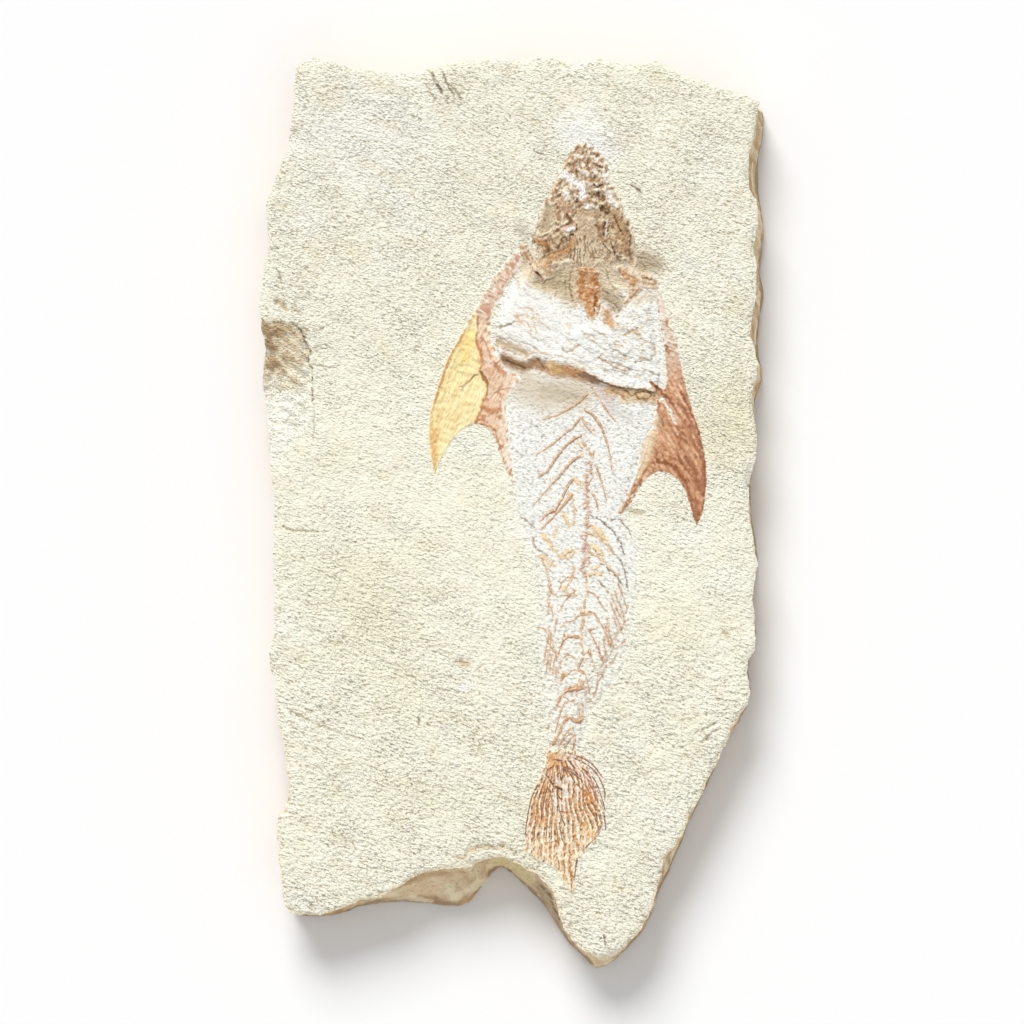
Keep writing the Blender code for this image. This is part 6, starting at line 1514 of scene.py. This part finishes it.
TAIL_STEP = 0.145               # mm between its points
TAIL_LIFT, TAIL_SKIRT = 0.24, 0.6   # mm that it stands over the stone, and reaches down into it
TAIL_FIN = [
    (6.6, -47), (6.2, -50.2), (5.2, -52.8), (4.4, -54.2), (3.6, -56.4), (3, -59.2), (2.6, -62.6),
    (2.2, -67.4), (4.2, -69), (6.2, -70), (8, -71), (9.8, -73.4), (11, -75), (11.8, -76.6),
    (13, -75), (12.9, -71), (13.4, -69), (15.4, -67.6), (17, -65.5), (18, -63.6), (18.9, -62.2),
    (18.7, -59.2), (18, -56), (17.2, -53.4), (16.2, -51), (14.8, -48.8), (12.8, -47),
]
FAN_ROOT = (9.6, -37.2)
TAIL_ORANGE = (224, 168, 110)
TAIL_FEATURES = [
    ([(7.8, -48.2), (8, -51.2), (7, -53.4)], 1.5, 0.06, (232, 176, 116), 0.9),
    ([(9.6, -48.4), (12.6, -50.2)], 1.1, 0, (246, 226, 206), 0.7),
    ([(10.2, -53.6), (11.6, -57.4)], 2.3, -0.05, (252, 242, 232), 0.65),
    ([(8.8, -58), (9.8, -61.6)], 1.7, -0.05, (248, 236, 222), 0.6),
    ([(10.8, -63), (11.6, -66)], 1.2, -0.05, (250, 244, 230), 0.7),
    ([(11.8, -57.4), (11.2, -59)], 0.8, 0.05, (212, 138, 78), 0.9),
    ([(13.2, -57.6), (12.8, -59.4)], 0.7, 0.05, (214, 142, 84), 0.9),
    ([(15, -56.2), (15.6, -59.4)], 1.2, 0.08, (212, 136, 76), 0.95),
    ([(14.4, -62.6), (16.2, -61.6), (15.2, -64.6)], 1.5, 0.05, (236, 192, 124), 0.6),
    ([(12.8, -62), (14, -63.6)], 1, 0, (238, 206, 140), 0.7),
    ([(3.6, -60.4), (4, -62)], 1.2, 0.05, (204, 124, 72), 0.85),
    ([(3.4, -66), (6, -67.6), (8.4, -68.2)], 0.9, 0, (228, 176, 126), 0.7),
    ([(11, -66.6), (11.2, -70.8), (11.6, -74.8)], 0.9, 0.05, (222, 164, 106), 0.85),
    ([(8.2, -69.2), (9.8, -70.4)], 0.7, 0, (226, 172, 120), 0.7),
    ([(9.8, -66.4), (9.6, -69.4)], 0.6, 0, (250, 240, 220), 0.6),
    ([(12.6, -51), (16.4, -55)], 1.3, 0, (226, 178, 158), 0.8),
    ([(11.6, -48.2), (15.2, -50.6), (17.4, -55), (18.4, -61)], 1.1, 0, (250, 238, 226), 0.85),
    ([(12, -51.6), (14.6, -53.6)], 0.7, 0, (250, 240, 230), 0.7),
]
TAIL_DARK = (118, 72, 50)
TAIL_WHITE = (254, 248, 238)
TAIL_STROKES = [(line, width, 0.06, colour, 0.95) for line, width, colour in [
    # The folded root: dark sticks that spread from it, and chalk between them.
    ([(6.2, -48.6), (7.2, -51.2), (8.2, -50.4)], 0.2, TAIL_DARK),
    ([(6.6, -51.8), (7.4, -53), (8.4, -54.4)], 0.26, TAIL_DARK),
    ([(8.2, -49.1), (10, -49.2)], 0.18, TAIL_DARK), ([(9, -50.4), (9.2, -52.4)], 0.2, (150, 96, 66)),
    ([(9.9, -49.6), (10.3, -51.6), (9.9, -53.2)], 0.22, TAIL_DARK),
    ([(10.7, -49.5), (11.4, -50.9)], 0.3, TAIL_DARK),
    ([(11.5, -49.2), (12.5, -50.8)], 0.26, TAIL_DARK),
    ([(11.8, -51.5), (13, -52.4), (14.2, -53.6)], 0.22, TAIL_DARK),
    ([(9.9, -47.6), (12.2, -47.8)], 0.16, (150, 96, 66)),
    ([(13.6, -50.6), (15.4, -53.4), (16.4, -55.8)], 0.2, (162, 96, 66)),
    ([(14.6, -51), (16.4, -54.4), (17.2, -57.6)], 0.2, (150, 88, 58)),
    ([(8.9, -54.5), (9.9, -55.1)], 0.42, TAIL_DARK),
    ([(9.2, -56), (9.8, -57.2)], 0.2, TAIL_DARK), ([(9.6, -59.4), (10.6, -59.6)], 0.22, TAIL_DARK),
    ([(10.6, -49.1), (12.6, -49.2), (15, -51.2)], 0.17, TAIL_WHITE),
    ([(11, -49.3), (12.6, -51.8)], 0.17, TAIL_WHITE),
    ([(9.5, -50), (9.7, -51.6)], 0.2, TAIL_WHITE), ([(8.6, -50.8), (8.9, -53.2)], 0.2, TAIL_WHITE),
    ([(8.9, -53.6), (9.6, -53.8)], 0.4, TAIL_WHITE), ([(11.3, -52.8), (12, -53.4)], 0.6, TAIL_WHITE),
    ([(12.2, -49.8), (14.4, -52.6)], 0.22, TAIL_WHITE), ([(12.9, -49.9), (15.6, -53.2)], 0.2, TAIL_WHITE),
    ([(12.8, -53.6), (13.2, -55.4)], 0.45, TAIL_WHITE), ([(10.6, -54.4), (11, -56.6)], 0.4, TAIL_WHITE),
    ([(8.2, -56), (8.6, -58.2)], 0.4, TAIL_WHITE), ([(10, -57.8), (10.6, -59)], 0.36, TAIL_WHITE),
]]

bm, ring, x, y = laid(TAIL_FIN, TAIL_STEP, seed=6)
depth = depth_in(x, y, TAIL_FIN)
angle = np.degrees(np.arctan2(x - FAN_ROOT[0], FAN_ROOT[1] - y))
reach = np.hypot(x - FAN_ROOT[0], y - FAN_ROOT[1])
turns = angle / 2.5 + 0.7 * relief_noise(x, y, 3.0, 5.0, 0, 121)
shown = relief_noise(turns.round() * 3.1, reach, 1.0, 2.6, 0, 122) + 0.7 * relief_noise(x, y, 2.6, seed=127)
ray = -np.cos(2 * math.pi * turns) * (0.45 + 0.55 * soft(shown + 0.7))
mottle = relief_noise(x, y, 1.0, 0.5, 78, 123) + 0.7 * relief_noise(x, y, 0.45, 0.36, 70, 124)
speck = relief_noise(x, y, 0.8, 0.42, 80, 125) + 0.6 * relief_noise(x, y, 0.36, 0.3, 70, 126)
heights = skin(x, y) - SUNK + soft(depth / 0.5) * (TAIL_LIFT + 0.02 * ray + 0.08 * mottle)
tint = mixed(TAIL_ORANGE, (164, 104, 62), soft((mottle + 0.1) / 0.9) * 0.85)
tint = mixed(tint, (250, 222, 184), soft((-mottle - 0.2) / 0.7) * 0.7)
drawn(x, y, heights, tint, TAIL_FEATURES, 0.2, 0.8)
rooted = 1 - 0.8 * soft((y + 52.4) / 2.4)
near_line = soft((0.36 - abs(turns % 1 - 0.26)) / 0.3) * soft((y + 70.0) / 8.0) * soft(shown + 0.7)
tint = mixed(tint, (124, 78, 54), near_line * soft((0.6 - speck) / 0.7) * 0.85 * rooted)
tint = mixed(tint, (255, 250, 232), soft((-ray - 0.38 - 0.6 * speck) / 0.3) * rooted)
tint = mixed(tint, (156, 104, 72), soft((mottle - 0.3) / 0.5) * (1 - rooted))
drawn(x, y, heights, tint, TAIL_STROKES, 0.1, 0.4)
low = soft((-57.0 - y) / 9.0)
tint = mixed(tint, (254, 242, 212), soft((speck + 0.3 * low) / 0.6) * (0.35 + 0.5 * low))
tint = mixed(face_tint(x, y), tint, soft((depth + (0.6 + 0.3 * (1 - rooted)) * mottle + 0.1 * ray) / 1.3))
tint = closed_below(bm, ring, heights, TAIL_SKIRT, tint, CREAM)
tail_bone = mineral("tail_bone", 0.8, (0.7, 0.36), 0.40, (0.66, 0.52, 0.40), -85)
finish_piece("tail_fin", bm, tint, tail_bone, ["tail_fin"])

rays = []
for line, start, end, colour in [
    ([(11.2, -47.8), (13.6, -48.6), (16, -50), (18.2, -52.8)], 0.26, 0.14, (150, 102, 76)),
    ([(12, -48.6), (14.8, -50), (17, -52), (18.4, -55), (18.6, -57)], 0.24, 0.14, (136, 92, 68)),
    ([(13.8, -50.6), (16.4, -53), (18, -57), (18.6, -59.2)], 0.24, 0.14, (130, 86, 64)),
    ([(14.8, -51.6), (16.8, -54.6), (18.2, -59), (18.8, -63.2)], 0.22, 0.12, (130, 88, 66)),
    ([(15, -53), (16.8, -56.6), (17.8, -60.6), (18.1, -62.2)], 0.24, 0.16, (140, 90, 62)),
    ([(14.4, -53.4), (16, -57), (16.9, -60), (17, -62.4)], 0.22, 0.16, (160, 104, 68)),
    ([(16.9, -63.8), (17.9, -62.2)], 0.5, 0.3, (212, 176, 146)),
    ([(14.6, -66.8), (16.4, -65), (17.6, -63.6)], 0.22, 0.14, (160, 116, 80)),
    ([(5.2, -54), (4, -56.6), (3.2, -60.2), (2.6, -64.2)], 0.30, 0.14, (150, 100, 62)),
    ([(6.6, -53), (5.4, -56.8), (4.6, -61.4), (4.4, -67)], 0.24, 0.16, (170, 112, 68)),
    ([(7.2, -54.4), (6.4, -57.4), (5.8, -61.4)], 0.30, 0.2, (150, 94, 60)),
    ([(7.8, -55), (7.2, -59.4), (6.8, -65.4)], 0.26, 0.16, (166, 106, 66)),
    ([(8.4, -55.4), (8, -60.6), (7.8, -67)], 0.22, 0.16, (170, 112, 70)),
    ([(9.4, -50), (9.8, -53.2)], 0.30, 0.2, (156, 102, 72)),
    ([(10.4, -50.4), (11.2, -52.8)], 0.30, 0.2, (150, 96, 70)),
    ([(11, -50.6), (12.4, -53.4), (14.6, -55.6)], 0.32, 0.2, (150, 96, 70)),
    ([(12, -50.8), (13.4, -52.4)], 0.30, 0.18, (140, 90, 68)),
    ([(8.8, -50.6), (8.2, -53.6)], 0.26, 0.18, (166, 110, 78)),
    ([(9, -56.4), (9.6, -59.6), (10.6, -62.4)], 0.24, 0.16, (156, 106, 76)),
    ([(9.4, -61.6), (10, -64.8), (11, -67.2)], 0.26, 0.18, (170, 114, 72)),
    ([(8.8, -61.8), (9.4, -66.4)], 0.24, 0.16, (176, 118, 76)),
    ([(12.4, -55), (11.8, -58.4)], 0.24, 0.16, (196, 136, 92)),
    ([(13.6, -55.4), (13.6, -59.4)], 0.24, 0.16, (196, 134, 88)),
    ([(14.6, -55.8), (14.8, -60)], 0.26, 0.16, (190, 120, 70)),
    ([(12.4, -61), (12.2, -65.6)], 0.20, 0.14, (206, 164, 118)),
    ([(13, -68.6), (12.4, -73.4)], 0.26, 0.16, (180, 124, 80)),
    ([(11.4, -66), (11.6, -70.4), (12, -75.6)], 0.30, 0.18, (196, 128, 74)),
    ([(10.4, -66.8), (10.6, -71.8)], 0.26, 0.16, (206, 148, 96)),
    ([(9, -68.4), (9.9, -72.4)], 0.22, 0.14, (206, 156, 110)),
    ([(6, -65.6), (5.8, -69.2)], 0.24, 0.16, (196, 142, 94)),
    ([(3.4, -64.6), (3, -67.6)], 0.2, 0.14, (206, 160, 116)),
]:
    strand(rays, line, start * 1.1, end * 1.4, mixed(colour, (112, 70, 50), 0.25), dust=0.1)
bm, tint = gathered(rays)
finish_piece("tail_rays", bm, tint, tail_bone, ["tail_fin"])

# ======================================================================================================
# The table, the camera and the studio light
# A plain pale table under the plate, a camera straight above it, and one soft lamp from the head end.
# ======================================================================================================

CAMERA_HEIGHT = 2.0             # m above the face
PICTURE_WIDTH = 0.2048          # m of the face that the picture spans
PICTURE_MIDDLE = (0.0, 0.0004)
SENSOR_WIDTH = 36.0             # mm
TABLE_HALF = 1.5                # m from the middle of the table to its edge
ROOM_LIGHT = 0.46
# Each lamp's name, strength, width in degrees and the way to it.
LAMPS = [("key", 2.6, 28, (-0.30, 1.0, 0.82)), ("fill", 0.35, 60, (0.3, -1.0, 0.9))]

floor_mesh = bpy.data.meshes.new("table")
bm = bmesh.new()
bmesh.ops.create_grid(bm, x_segments=1, y_segments=1, size=TABLE_HALF)
bm.to_mesh(floor_mesh)
bm.free()
floor = bpy.data.objects.new("table", floor_mesh)
bpy.context.scene.collection.objects.link(floor)
pale = bpy.data.materials.new("pale_table")
pale.use_nodes = True
pale.node_tree.nodes["Principled BSDF"].inputs["Base Color"].default_value = (0.95, 0.95, 0.95, 1)
pale.node_tree.nodes["Principled BSDF"].inputs["Roughness"].default_value = 0.9
floor_mesh.materials.append(pale)

camera_data = bpy.data.cameras.new("camera")
camera_data.sensor_width = SENSOR_WIDTH
camera_data.lens = SENSOR_WIDTH * CAMERA_HEIGHT / PICTURE_WIDTH
camera_data.clip_end = 20.0
camera = bpy.data.objects.new("camera", camera_data)
camera.location = (*PICTURE_MIDDLE, CAMERA_HEIGHT + FACE_HEIGHT * MM)
bpy.context.scene.collection.objects.link(camera)
bpy.context.scene.camera = camera

for name, energy, width, towards in LAMPS:
    lamp_data = bpy.data.lights.new(name, "SUN")
    lamp_data.energy = energy
    lamp_data.angle = math.radians(width)
    lamp = bpy.data.objects.new(name, lamp_data)
    lamp.rotation_euler = Vector(towards).to_track_quat("Z", "Y").to_euler()
    bpy.context.scene.collection.objects.link(lamp)

world = bpy.data.worlds.new("studio")
world.use_nodes = True
world.node_tree.nodes["Background"].inputs["Color"].default_value = (1.0, 1.0, 1.0, 1)
world.node_tree.nodes["Background"].inputs["Strength"].default_value = ROOM_LIGHT
bpy.context.scene.world = world
bpy.context.scene.view_settings.view_transform = "Standard"
